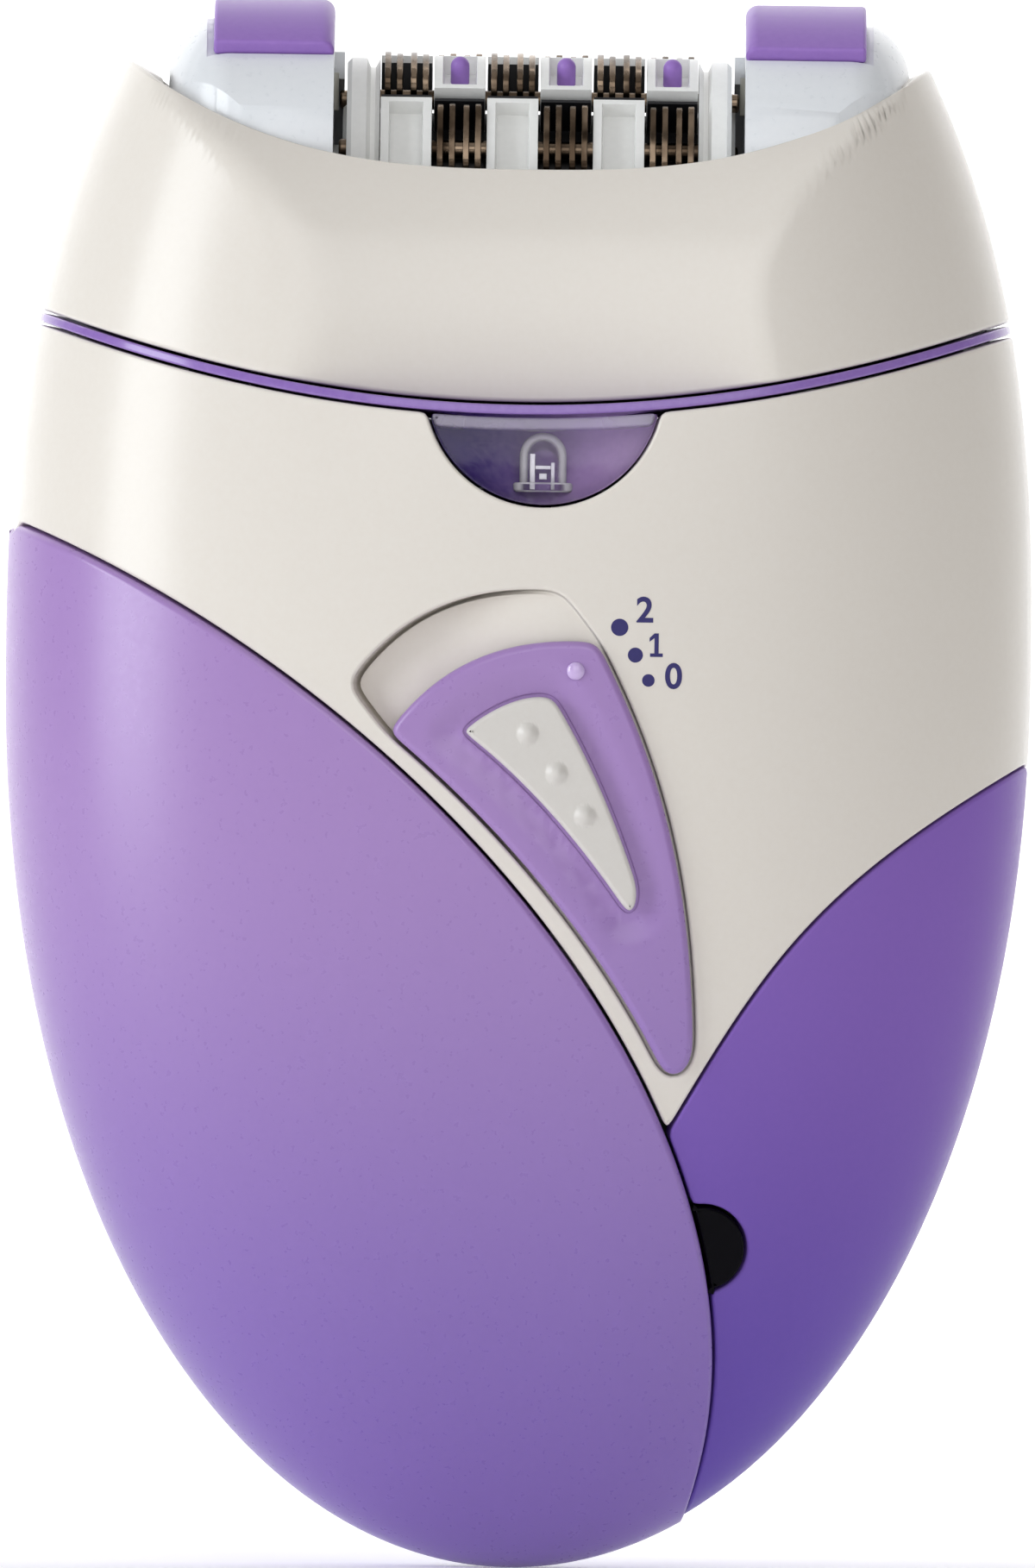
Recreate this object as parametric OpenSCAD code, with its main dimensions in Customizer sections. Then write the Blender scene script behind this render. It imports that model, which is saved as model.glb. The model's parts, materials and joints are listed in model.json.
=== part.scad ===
// Hand-held epilator: egg-shaped body, lift-off tweezer head, geared drum.
// Millimetres. +Z up through the head, +X right, front face towards -Y.

/* [Body] */
// Half width of the body at its widest
half_width = 33; // [28:0.5:38]
// Half depth of the body at its widest
half_depth = 18.5; // [15:0.5:24]
// Height of the widest section above the bottom tip
widest_z = 58; // [50:0.5:64]
// Height at which the upper body curve would close
upper_span = 67; // [60:0.5:75]
// Squareness of the horizontal sections, 2 is an ellipse
section_power = 2.3; // [2:0.1:3]
// Wall of the body shells
wall = 1.8; // [1.2:0.1:2.5]
// Wall of the head shell
head_wall = 1.5; // [1:0.1:2]
// How far the front cover stands proud of the other shells
cover_raise = 0.3; // [0:0.05:0.6]
// Gap between neighbouring shells
seam_gap = 0.2; // [0.1:0.05:0.4]

/* [Ring and head outline] */
// Height of the ring line at the middle
ring_z = 74.4; // [70:0.2:78]
// Radius of the saddle that the ring line follows
ring_radius = 85; // [60:1:120]
// Thickness of the deck ring
ring_thickness = 0.75; // [0.5:0.05:1.5]
// Height of the head lip at the middle
lip_z = 89.6; // [86:0.2:92]
// Rise of the head lip at the shoulders
lip_rise = 6.9; // [4:0.1:9]
// Half width at which the lip has risen fully
lip_half_width = 25.7; // [22:0.1:28]
// Depth of the hollow scoop face at the ring line
scoop_depth = 14.95; // [14:0.05:18]
// How far in front of the body the scoop's axis stands
scoop_axis = 120; // [80:1:200]
// Height above which the scoop leans back, less the ring's height
scoop_start = 1.6; // [0:0.1:4]
// How slowly the scoop leans back; larger is slower
scoop_lean = 680; // [400:10:1200]

/* [Drum] */
// Height of the drum axis
drum_z = 88.4; // [86:0.1:91]
// Sideways offset of the head parts and the light
head_x = 0.7; // [0:0.1:2]
// Radius over the tweezer plates
tweezer_radius = 8.75; // [7.5:0.05:9.5]
// Radius over the white blocks
block_radius = 8.4; // [7:0.05:9]
// Radius of the drum core
core_radius = 4.6; // [3.8:0.1:5.5]
// Width of one cell across the drum
cell_width = 3.4; // [2.8:0.1:4]
// Number of cells across the drum
cell_count = 6; // [4:2:8]
// Number of rows around the drum
row_count = 8; // [6:2:10]
// Thickness of one tweezer plate
plate_thickness = 0.4; // [0.2:0.05:0.6]
// Opening of a tweezer pair at rest
tweezer_gap = 0.36; // [0.2:0.02:0.6]
// Radius of the closing rods
rod_radius = 0.6; // [0.4:0.05:0.8]
// Distance of the closing rods from the drum axis
rod_orbit = 6; // [5:0.1:7]

/* [Drive] */
// Gear module
gear_module = 0.6; // [0.4:0.05:0.8]
// Teeth of the motor pinion
pinion_teeth = 10; // [9:1:14]
// Teeth of the large step of the stepped gear
large_teeth = 24; // [20:2:30]
// Teeth of the small step of the stepped gear
small_teeth = 16; // [12:2:20]
// Teeth of the idler gear in the head
idler_teeth = 16; // [12:2:20]
// Teeth of the drum gear
drum_teeth = 22; // [18:2:26]
// Radius of the motor can
motor_radius = 12; // [9:0.5:13]
// Length of the motor can
motor_length = 25; // [18:0.5:30]

/* [Switch] */
// Travel of the slider from 0 to 2
slider_travel = 3.9; // [2:0.1:6]
// Height of the slider above the body surface
slider_raise = 0.5; // [0.2:0.1:1]
// Depth of the recess floor below the body surface
recess_depth = 1.9; // [1.4:0.1:2.4]

/* [Inlet and light] */
// Bore radius of the power inlet
inlet_radius = 2.75; // [2:0.05:3.5]
// Radius of the light pocket
light_radius = 7.54; // [5:0.1:9]

/* [Hidden] */
lower_power = 2.15;
upper_power = 2.6;
upper_root = 1 / 1.1;
around = 48;
rings_below = 13;
rings_above = 7;
body_top = 98;
far = 60;
tiny = 0.01;
round_sides = 48;
fine_sides = 96;
curve_steps = 14;
cell_top = cell_width * cell_count / 2;
disc_thickness = 2.1;
drum_end = cell_top + disc_thickness;
cap_start = 13.15;
cap_length = 10.55;
cap_radius = 11;
cap_corner = 4;
cap_waist = 10.6;
cap_waist_x = 2.05;
cap_bottom = 80.2;
strip_height = 0.9;
strip_seat = 0.4;
strip_fit = 0.08;
strip_length = 7.7;
strip_half_angle = 41;
strip_corner = 0.8;
plate_base = 78.6;
row_angle = 360 / row_count;
axle_radius = 1.2;
hub_radius = 2.6;
run = 0.05;
pair_width = 2 * plate_thickness + tweezer_gap;
pressure_angle = 25;
backlash = 0.12;
gear_x = -20.5;
gear_width = 2.6;
large_gear_x = -15.4;
large_gear_width = 1.9;
idler_z = drum_z - gear_module * (drum_teeth + idler_teeth) / 2;
step_z = idler_z - gear_module * (idler_teeth + small_teeth) / 2;
motor_z = step_z - gear_module * (large_teeth + pinion_teeth) / 2;
motor_x = -11.2;
chassis_x = motor_x - 1.8;
roller_radius = 2.6;
roller_half = 1.2;
roller_bore = 0.55;
roller_pin = 0.5;
roller_room = 3;
cap_wall = 0.9;
axle_end = 0.8;
roller_x = 15.45;
collar_inner = 7.1;
collar_outer = 8.9;
collar_gap = 0.2;
collar_root = 0.2;
collar_middle = 170;
collar_span = 130;
roller_z = drum_z + 6;
recess_margin = 0.3;
recess_boss = 1.5;
recess_floor = 1.3;
pocket_wall = 1.5;
pocket_back = -9;
light_x = 1.25;
light_z = 75.44;
bowl_front = -17;
bowl_back = -11.2;
bowl_floor = -12.4;
bowl_wall = 0.6;
bowl_top_gap = 0.25;
cover_back = -17.05;
cover_top_gap = 0.2;
led_y = -15;
led_rise = 0.9;
led_radius = 1.5;
led_flange_radius = 1.9;
led_flange = 0.6;
led_barrel = 2.3;
inlet_y = 5.05;
inlet_face = 6.2;
inlet_bore = 2.8;
inlet_reach = 5;
socket_wall = 1.2;
socket_length = 11.4;
socket_cavity = 8.8;
pin_radius = 0.65;
pin_front = 3.4;
pin_back = 12.6;
window_x = 12.15;
window_z = 20.75;
window_radius = 2.75;
indicator_x = 12.2;
indicator_depth = 0.9;
label_z = 51;
slide_axis = [-0.62, -0.078, 0.78];
slide_tilt = asin(0.62);
stem_x = 5.5;
stem_z = 40.5;
stem_radius = 1.5;
stem_slot = 1.9;
stem_front = -15.7;
flange_front = -13.5;
flange_back = -12.4;
flange_radius = 3.4;
lever_radius = 0.8;
lever_gap = 0.4;
lever_depth = 1.8;
lever_room = 0.6;
slider_clear = 0.5;
pad_seat = 0.4;
pad_raise = 0.4;
pad_gap = 0.08;
board_front = -8.4;
board_back = -7;
board_left = -10.8;
board_right = 14;
board_low = 16;
board_high = 44.5;
switch_front = -11.4;
switch_left = -0.5;
switch_right = 9;
switch_low = 37.5;
switch_high = 45;
sleeve_wall = 2.3;
sleeve_reach = 2.5;
label_width = 16;
label_height = 10;
label_gap = 0.1;
label_back = half_depth - 0.9;
screw_hole = 1.2;
screw_pocket = 2.3;
screw_shaft = 0.9;
screw_head = 2.2;
screw_head_height = 0.85;
screw_sink = 0.9;
seam_left = [[-35.3, 67.7], [-3.7, 56], [19.9, 25.6], [11.1, 3.3]];
seam_right = [[9.8, 28.2], [16.6, 40], [19.5, 44.5], [35.5, 53.6]];
seam_back = [[-34, 66.06], [-12, 75], [8, 66], [33.5, 51.36]];
slider_top = [[-8.5, 53.4], [-5.6, 57.6], [-1.4, 59.9], [4.9, 59.4]];
slider_right = [[4.9, 59.4], [9.2, 51.5], [11.2, 44], [11.4, 33.6]];
slider_tip = [[11.4, 33.6], [11.3, 31.8], [10.1, 31], [9.2, 32.1]];
slider_left = [[9.2, 32.1], [5.6, 39.4], [-0.8, 47.2], [-8.5, 53.4]];
pad_top = [[-3.9, 53.5], [-1.6, 55.6], [0.8, 56.3], [2.2, 55.9]];
pad_right = [[2.2, 55.9], [4.9, 51.6], [6.6, 47.2], [7.7, 43.9]];
pad_tip = [[7.7, 43.9], [7.8, 42.4], [7.5, 41.8], [6.9, 41.9]];
pad_left = [[6.9, 41.9], [4, 46.1], [0.6, 50.2], [-3.9, 53.5]];

ivory = [0.9, 0.89, 0.86];
purple = [0.5, 0.4, 0.68];
cap_white = [0.88, 0.9, 0.93];
plate_grey = [0.8, 0.81, 0.82];
steel = [0.6, 0.57, 0.53];
bright_steel = [0.75, 0.76, 0.78];
gear_white = [0.93, 0.92, 0.88];
board_green = [0.1, 0.4, 0.25];
dark = [0.08, 0.08, 0.1];
copper = [0.75, 0.4, 0.25];

// ---------- curves ----------

function bezier(p, n = curve_steps) = [for (i = [0:n])
    let (t = i / n, s = 1 - t)
    s * s * s * p[0] + 3 * s * s * t * p[1] + 3 * s * t * t * p[2] + t * t * t * p[3]];

function reversed(p) = [for (i = [len(p) - 1:-1:0]) p[i]];

// A closed outline from curves that each start where the last one ends.
function joined(curves) = [for (c = curves) each [for (i = [1:len(c) - 1]) c[i]]];

function ring_height(x) = ring_z + x * x / (2 * ring_radius);

function lip_height(x) = lip_z + lip_rise * pow(min(abs(x), far / 2) / lip_half_width, 2.8);

function scoop_y(z, inset) =
    inset - scoop_depth + pow(max(0, z - ring_z - scoop_start), 3) / scoop_lean;

// Height of ring i of the egg, and the share of the full width it has there.
function egg_level(i, grow) = i <= rings_below
    ? widest_z - (widest_z + grow) * cos(90 * i / rings_below)
    : widest_z + (body_top - widest_z) * (i - rings_below) / rings_above;

function egg_share(z, grow) = z < widest_z
    ? sqrt(max(0, 1 - pow(min(1, (widest_z - z) / (widest_z + grow)), lower_power)))
    : pow(1 - pow((z - widest_z) / (upper_span + grow), upper_power), upper_root);

function power_cos(a) = sign(cos(a)) * pow(abs(cos(a)), 2 / section_power);
function power_sin(a) = sign(sin(a)) * pow(abs(sin(a)), 2 / section_power);

function egg_ring(z, grow) = [for (j = [0:around - 1])
    let (a = 360 * (j + 0.5) / around, share = egg_share(z, grow))
    [(half_width - cover_raise + grow) * share * power_cos(a),
     (half_depth - cover_raise + grow) * share * power_sin(a), z]];

// The egg grown by a distance; a negative distance gives the inside of a wall.
module egg(grow) {
    levels = rings_below + rings_above;
    rings = [for (i = [1:levels]) each egg_ring(egg_level(i, grow - cover_raise), grow)];
    points = concat([[0, 0, egg_level(0, grow - cover_raise)]], rings);
    sides = [for (i = [0:levels - 2], j = [0:around - 1])
        let (k = (j + 1) % around, a = 1 + i * around)
        each [[a + j, a + k, a + around + k], [a + j, a + around + k, a + around + j]]];
    bottom = [for (j = [0:around - 1]) [0, 1 + (j + 1) % around, 1 + j]];
    top = [[for (j = [0:around - 1]) 1 + (levels - 1) * around + j]];
    polyhedron(points, [for (f = concat(bottom, sides, top)) reversed(f)]);
}

// ---------- placing helpers ----------

module along_x(x) {
    translate([x, 0, 0]) rotate([90, 0, 90]) children();
}

module rod_x(r, x1, x2, z, y = 0) {
    translate([x1, y, z]) rotate([0, 90, 0]) cylinder(r = r, h = x2 - x1, $fn = round_sides);
}

module rod_y(r, y1, y2, x, z) {
    translate([x, y1, z]) rotate([-90, 0, 0]) cylinder(r = r, h = y2 - y1, $fn = round_sides);
}

module rod_z(r, z1, z2, x, y = 0) {
    translate([x, y, z1]) cylinder(r = r, h = z2 - z1, $fn = round_sides);
}

module block(x1, x2, y1, y2, z1, z2) {
    translate([x1, y1, z1]) cube([x2 - x1, y2 - y1, z2 - z1]);
}

// Stands an outline of [x, z] points up and runs it from y1 to y2.
module wall_prism(points, y1, y2) {
    translate([0, y2, 0]) rotate([90, 0, 0]) linear_extrude(y2 - y1) polygon(points);
}

module front_prism(points) {
    wall_prism(points, -far, 0);
}

module back_prism(points) {
    wall_prism(points, 0, far);
}

// Revolves an outline of [radius, length] about the X direction.
module revolve_x(x = 0, z = 0) {
    translate([x, 0, z]) rotate([0, 90, 0]) rotate_extrude($fn = fine_sides) children();
}

// Sector of a ring about the drum axis; angles count from the front upwards.
module drum_sector(r1, r2, x1, x2, centre, span) {
    translate([head_x, 0, drum_z]) rotate([0, 90, 0]) rotate([0, 0, 270 - centre - span / 2])
        rotate_extrude(angle = span, $fn = fine_sides) translate([r1, x1]) square([r2 - r1, x2 - x1]);
}

module at_row(k, orbit) {
    a = row_angle * (k + 0.5);
    translate([head_x, -orbit * cos(a), drum_z + orbit * sin(a)]) children();
}

// ---------- gears ----------

function inv(a) = tan(a) * 180 / PI - a;

function flank(r, teeth) =
    let (pitch_r = gear_module * teeth / 2, base_r = pitch_r * cos(pressure_angle))
    90 / teeth - backlash / pitch_r * 45 / PI + inv(pressure_angle)
        - inv(acos(min(1, base_r / max(r, base_r))));

module gear_outline(teeth, first_tooth) {
    pitch_r = gear_module * teeth / 2;
    root_r = pitch_r - 1.2 * gear_module;
    tip_r = pitch_r + 0.95 * gear_module;
    radii = [root_r, pitch_r * cos(pressure_angle), pitch_r, (pitch_r + tip_r) / 2, tip_r];
    polygon([for (i = [0:teeth - 1]) each concat(
        [for (r = radii) let (a = first_tooth + 360 * i / teeth - flank(r, teeth))
            r * [sin(a), cos(a)]],
        [for (r = reversed(radii)) let (a = first_tooth + 360 * i / teeth + flank(r, teeth))
            r * [sin(a), cos(a)]])]);
}

module gear(teeth, x, width, z, bore, first_tooth = 0) {
    translate([0, 0, z]) along_x(x) linear_extrude(width) difference() {
        gear_outline(teeth, first_tooth);
        circle(r = bore, $fn = round_sides);
    }
}

// ---------- regions of the skin, as [x, z] outlines ----------

tip_z = seam_right[0][1];
left_points = bezier(seam_left, 24);
left_above_tip = [for (p = left_points) if (p[1] > tip_z + 0.5) p];
left_below_tip = [for (p = left_points) if (p[1] < tip_z - 0.5) p];
right_points = bezier(seam_right);
back_points = bezier(seam_back);
span_x = [for (i = [-9:9]) i * 4];

ground = -5;
tip_end_x = 10.6;
left_edge_z = seam_left[0][1];
right_edge_z = seam_right[3][1];

below_ring = concat([for (x = span_x) [x, ring_height(x)]], [[far, -far], [-far, -far]]);
below_lip = concat([for (x = span_x) [x, lip_height(x)]], [[far, -far], [-far, -far]]);
left_panel = concat(left_points, [[tip_end_x, ground], [-far, ground], [-far, left_edge_z]]);
right_panel = concat(reversed(left_below_tip), right_points,
    [[far, right_edge_z], [far, ground], [tip_end_x, ground]]);
back_lower = concat(back_points,
    [[far, right_edge_z], [far, ground], [-far, ground], [-far, left_edge_z]]);
slider_points = joined([bezier(slider_top, 7), bezier(slider_right, 5), bezier(slider_tip, 4),
    bezier(slider_left, 6)]);
pad_points = joined([bezier(pad_top, 5), bezier(pad_right, 4), bezier(pad_tip, 3),
    bezier(pad_left, 4)]);

// Everything between two depths.
module everything(y1, y2) {
    wall_prism([[-far, -far], [far, -far], [far, 2 * far], [-far, 2 * far]], y1, y2);
}

// An outline shrunk by a margin, run along Y.
module inset_prism(points, margin, y1, y2) {
    translate([0, y2, 0]) rotate([90, 0, 0]) linear_extrude(y2 - y1)
        offset(delta = -margin) polygon(points);
}

// The area the slider sweeps as it travels, grown by a margin.
module recess_prism(margin, y1, y2) {
    step = [slide_axis[0], slide_axis[2]] * slider_travel;
    translate([0, y2, 0]) rotate([90, 0, 0]) linear_extrude(y2 - y1) offset(delta = margin)
        minkowski() {
            polygon(slider_points);
            polygon([[0, 0], [tiny, 0], step + [tiny, 0], step]);
        }
}

// A slot along the slider's path for something round of radius r at the stem.
module travel_slot(r, y1, y2) {
    for (travel = [0, slider_travel])
        translate(slide_axis * travel) rod_y(r, y1, y2, stem_x, stem_z);
    translate([stem_x, 0, stem_z]) rotate([0, -slide_tilt, 0])
        block(-r, r, y1, y2, 0, slider_travel);
}

module below_saddle(drop) {
    translate([0, 0, -drop]) wall_prism(below_ring, -far, far);
}

module inlet_hole() {
    rod_z(inlet_radius + socket_wall + 0.1, -far, inlet_face + inlet_reach, 0, inlet_y);
}

// The volume in front of the scoop face, moved back into the head by an inset.
module scoop(inset) {
    bottom = 68;
    top = 101;
    rise = 3;
    sweep = 40;
    face = [for (z = [bottom:rise:top]) [scoop_axis + scoop_y(z, inset), z]];
    translate([head_x, -scoop_axis, 0]) rotate([0, 0, 90 - sweep / 2])
        rotate_extrude(angle = sweep, $fn = 180) polygon(concat(face, [[0, top], [0, bottom]]));
}

// ---------- body shells ----------

module body_cavity() {
    difference() {
        egg(-wall);
        recess_prism(recess_boss, -far, 0);
        rod_y(light_radius + pocket_wall, -far, pocket_back, light_x, light_z);
    }
    egg(-recess_depth - recess_floor);
}

module upper_shell() {
    color(ivory) minkowski() difference() {
        egg(0);
        body_cavity();
        front_prism(left_panel);
        inset_prism(right_panel, -tiny, -far, 0);
        back_prism(back_lower);
        difference() {
            everything(-far, far);
            below_saddle(ring_thickness + 0.1);
        }
        difference() {
            recess_prism(recess_margin, -far, 0);
            egg(-recess_depth);
        }
        travel_slot(stem_slot, -far, 0);
        rod_y(light_radius, -far, pocket_back, light_x, light_z);
    }
}

module front_cover() {
    color(purple) minkowski() intersection() {
        difference() {
            egg(cover_raise);
            egg(-wall);
            slider_clearance();
        }
        inset_prism(left_panel, seam_gap, -far, -seam_gap / 2);
    }
}

// Keeps the cover clear of the slider that runs beside it.
module slider_clearance() {
    recess_prism(recess_margin + run, -far, 0);
}

module rear_cover() {
    color(purple) minkowski() difference() {
        egg(0);
        difference() {
            egg(-wall);
            rod_z(inlet_radius + sleeve_wall, 0, inlet_face + sleeve_reach, 0, inlet_y);
        }
        front_prism(left_panel);
        difference() {
            everything(-far, 0);
            inset_prism(right_panel, seam_gap, -far, 0);
        }
        difference() {
            everything(0, far);
            inset_prism(back_lower, seam_gap, 0, far);
        }
        inlet_hole();
        rod_y(window_radius + run, -far, 0, window_x, window_z);
        block(-label_width / 2 - label_gap, label_width / 2 + label_gap, label_back, far,
            label_z - label_height / 2 - label_gap, label_z + label_height / 2 + label_gap);
        for (p = screw_spots) rod_y(screw_hole, 0, far, p[0], p[1]);
        for (p = screw_spots) rod_y(screw_pocket, screw_head_y(p), far, p[0], p[1]);
    }
}

module deck_ring() {
    color(purple) minkowski() intersection() {
        difference() {
            egg(0);
            below_saddle(ring_thickness);
            gear_opening();
            leg_openings();
        }
        below_saddle(0);
    }
}

// ---------- light ----------

module light_reflector() {
    color(purple) difference() {
        rod_y(light_radius - run, bowl_front, bowl_back, light_x, light_z);
        rod_y(light_radius - bowl_wall, bowl_front - tiny, bowl_floor, light_x, light_z);
        block(-far, far, -far, far, ring_z - ring_thickness - bowl_top_gap, 2 * far);
    }
}

module light_cover() {
    color([0.85, 0.85, 0.92, 0.4]) minkowski() intersection() {
        rod_y(light_radius - 2 * run, -far, cover_back, light_x, light_z);
        below_saddle(ring_thickness + cover_top_gap);
        egg(0);
    }
}

module led() {
    foot = light_z - light_radius + led_rise;
    color([0.9, 0.9, 0.92, 0.5]) {
        rod_z(led_flange_radius, foot, foot + led_flange, light_x, led_y);
        rod_z(led_radius, foot + led_flange, foot + led_barrel, light_x, led_y);
        translate([light_x, led_y, foot + led_barrel]) sphere(r = led_radius, $fn = 32);
    }
}

// ---------- switch ----------

module switch_slider() {
    color(purple) minkowski() difference() {
        intersection() {
            egg(slider_raise);
            wall_prism(slider_points, -far, 0);
        }
        egg(slider_clear - recess_depth);
        difference() {
            wall_prism(pad_points, -far, 0);
            egg(-pad_seat);
        }
    }
}

module switch_pad() {
    color(ivory) minkowski() intersection() {
        difference() {
            egg(slider_raise + pad_raise);
            egg(-pad_seat);
        }
        inset_prism(pad_points, pad_gap, -far, 0);
    }
}

module switch_carrier() {
    color(plate_grey) {
        rod_y(stem_radius, stem_front, flange_front, stem_x, stem_z);
        rod_y(flange_radius, flange_front - 0.1, flange_back, stem_x, stem_z);
        rod_y(stem_radius, flange_back, switch_front - lever_gap, stem_x, stem_z);
        rod_y(lever_radius, switch_front - lever_gap, switch_front + lever_depth, stem_x, stem_z);
    }
}

module slide_switch() {
    color(dark) difference() {
        block(switch_left, switch_right, switch_front, board_front, switch_low, switch_high);
        travel_slot(lever_radius + 0.2, switch_front - 1, switch_front + lever_depth + lever_room);
    }
}

// ---------- indicator ----------

module indicator_window() {
    color(dark) minkowski() intersection() {
        rod_y(window_radius, -far, 0, window_x, window_z);
        difference() {
            egg(0);
            egg(-wall + seam_gap);
        }
        inset_prism(right_panel, seam_gap, -far, 0);
    }
}

module indicator_led() {
    color([0.9, 0.9, 0.8])
        block(indicator_x - 0.8, indicator_x + 0.8, board_front - indicator_depth, board_front,
            window_z - 0.55, window_z + 0.65);
}

// ---------- drive in the body ----------

screw_spots = [[-10, 60.5], [14, 50], [0, 22]];
board_posts = [[-8, 38], [11, 20]];
bracket_front = -12;
bracket_low = 40;
bracket_top = 72.5;
plate_front = 12.4;
plate_rear = 13.2;
side_plate_x = 16.8;
side_plate_end = 18.4;
side_plate_low = 42;
side_plate_top = 70;
rib_half = 12.5;
rib_front = 8.6;
rib_rear = 10;
rib_low = 18;
shelf_low = 40.5;
shelf_rear = 13.4;
post_radius = 2;
post_gap = 1;
board_post_radius = 1.8;
nose_radius = 3.2;
tail_radius = 3.4;
tail_length = 3;
shaft_radius = 0.75;
shaft_hole = 0.8;
can_wall = 1;
gear_pin_radius = 1;
gear_pin_head = 1.6;
gear_bore = 1.05;

// Upper screws reach the back plate, the lower one the rib.
function is_upper(p) = p[1] > bracket_low;
function screw_head_y(p) = (half_depth - cover_raise) * egg_share(p[1], 0)
    * pow(1 - pow(abs(p[0]) / (half_width * egg_share(p[1], 0)), section_power),
        1 / section_power) - screw_sink;

module chassis() {
    color(plate_grey) difference() {
        union() {
            block(chassis_x, motor_x, bracket_front, shelf_rear, bracket_low, bracket_top);
            block(side_plate_x, side_plate_end, -11, plate_rear, side_plate_low, side_plate_top);
            block(chassis_x, side_plate_end, plate_front, plate_rear, side_plate_low, side_plate_top);
            block(-rib_half, rib_half, rib_front, rib_rear, rib_low, side_plate_low);
            block(-rib_half, rib_half, rib_front, shelf_rear, shelf_low, side_plate_low);
            for (p = board_posts)
                rod_y(board_post_radius, board_back, rib_front + 0.4, p[0], p[1]);
            for (p = screw_spots)
                rod_y(post_radius, is_upper(p) ? plate_front : rib_front + 0.4,
                    screw_head_y(p) - post_gap - screw_sink, p[0], p[1]);
        }
        rod_x(nose_radius, chassis_x - 1, motor_x + 1, motor_z);
        rod_x(gear_pin_radius, chassis_x - 1, motor_x + 1, step_z);
        rod_x(tail_radius, side_plate_x - 0.8, side_plate_end + 0.6, motor_z);
        for (p = screw_spots) rod_y(screw_shaft, rib_front + 0.4, far, p[0], p[1]);
    }
}

module motor_can() {
    color(bright_steel) difference() {
        union() {
            rod_x(motor_radius, motor_x, motor_x + motor_length, motor_z);
            rod_x(nose_radius, chassis_x, motor_x + tiny, motor_z);
        }
        rod_x(motor_radius - can_wall, motor_x + can_wall, motor_x + motor_length + 1, motor_z);
        rod_x(shaft_hole, chassis_x - 1, motor_x + 2 * can_wall, motor_z);
    }
}

module motor_end_cap() {
    end = motor_x + motor_length;
    color(dark) difference() {
        union() {
            rod_x(motor_radius - can_wall, end - 2, end, motor_z);
            rod_x(motor_radius, end, end + can_wall, motor_z);
            rod_x(tail_radius, end + can_wall, end + can_wall + tail_length, motor_z);
        }
        rod_x(shaft_hole, end - 3, end + 2, motor_z);
    }
}

module motor_shaft() {
    rotor_radius = 8.5;
    rotor_gap_left = 4;
    rotor_gap_right = 5;
    color(steel) {
        rod_x(shaft_radius, large_gear_x, motor_x + motor_length + 1.5, motor_z);
        rod_x(rotor_radius, motor_x + rotor_gap_left, motor_x + motor_length - rotor_gap_right, motor_z);
    }
}

module motor_pinion() {
    color(copper) gear(pinion_teeth, large_gear_x, large_gear_width, motor_z, shaft_radius);
}

module stepped_gear() {
    color(gear_white) {
        gear(large_teeth, large_gear_x, large_gear_width, step_z, gear_bore, 180 / large_teeth);
        gear(small_teeth, gear_x, large_gear_x - gear_x, step_z, gear_bore);
    }
}

module stepped_gear_pin() {
    head_end = gear_x - 0.2;
    color(steel) {
        rod_x(gear_pin_radius, gear_x - 0.8, motor_x, step_z);
        rod_x(gear_pin_head, head_end - 1.1, head_end, step_z);
    }
}

// ---------- electrics ----------

module circuit_board() {
    color(board_green) block(board_left, board_right, board_front, board_back, board_low, board_high);
}

module board_chips() {
    half_length = 3;
    half_height = 2;
    thickness = 1.5;
    color(dark) for (p = [[-6, 22], [4, 27]])
        block(p[0] - half_length, p[0] + half_length, board_back, board_back + thickness,
            p[1] - half_height, p[1] + half_height);
}

module board_capacitors() {
    radius = 2.4;
    height = 6;
    color([0.15, 0.2, 0.4]) for (x = [-7, 10.5])
        rod_y(radius, board_back, board_back + height, x, 30.5);
}

module dc_socket() {
    color(dark) difference() {
        rod_z(inlet_radius + socket_wall, inlet_face, inlet_face + socket_length, 0, inlet_y);
        rod_z(inlet_radius, inlet_face - 1, inlet_face + inlet_bore, 0, inlet_y);
        rod_z(inlet_radius - 0.2, inlet_face + 1, inlet_face + socket_cavity, 0, inlet_y);
        rod_z(pin_radius, inlet_face + socket_cavity - 1, far, 0, inlet_y);
    }
}

module dc_pin() {
    color(bright_steel) rod_z(pin_radius, inlet_face + pin_front, inlet_face + pin_back, 0, inlet_y);
}

module case_screws() {
    color(bright_steel) for (p = screw_spots) {
        rod_y(screw_head, screw_head_y(p), screw_head_y(p) + screw_head_height, p[0], p[1]);
        rod_y(screw_shaft, (is_upper(p) ? plate_front : rib_front + 0.4) + 0.4,
            screw_head_y(p) + screw_head_height / 2, p[0], p[1]);
    }
}

module label_plate() {
    thickness = 0.55;
    color(plate_grey) block(-label_width / 2, label_width / 2, label_back, label_back + thickness,
        label_z - label_height / 2, label_z + label_height / 2);
}

module motor_terminals() {
    end = motor_x + motor_length + can_wall;
    length = 1.6;
    half_width = 1;
    half_thickness = 0.3;
    color(copper) for (z = [-7, 7])
        block(end, end + length, -half_width, half_width,
            motor_z + z - half_thickness, motor_z + z + half_thickness);
}

// ---------- head ----------

leg_spots = [-24.4, 24.4];
leg_half = 1.4;
leg_depth = 4;
leg_hook = 0.6;
leg_gap = 0.1;
leg_end = 72;
gear_wall = 1.2;
gear_room = 0.3;
frame_half = 22.45;
frame_depth = 7.6;
tray_inner = 9.15;
tray_outer = 9.75;
tray_half = 12;
tray_front = 10.1;
tray_rear = 13.2;
saddle_gap = 0.15;
base_thickness = 1;

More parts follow.
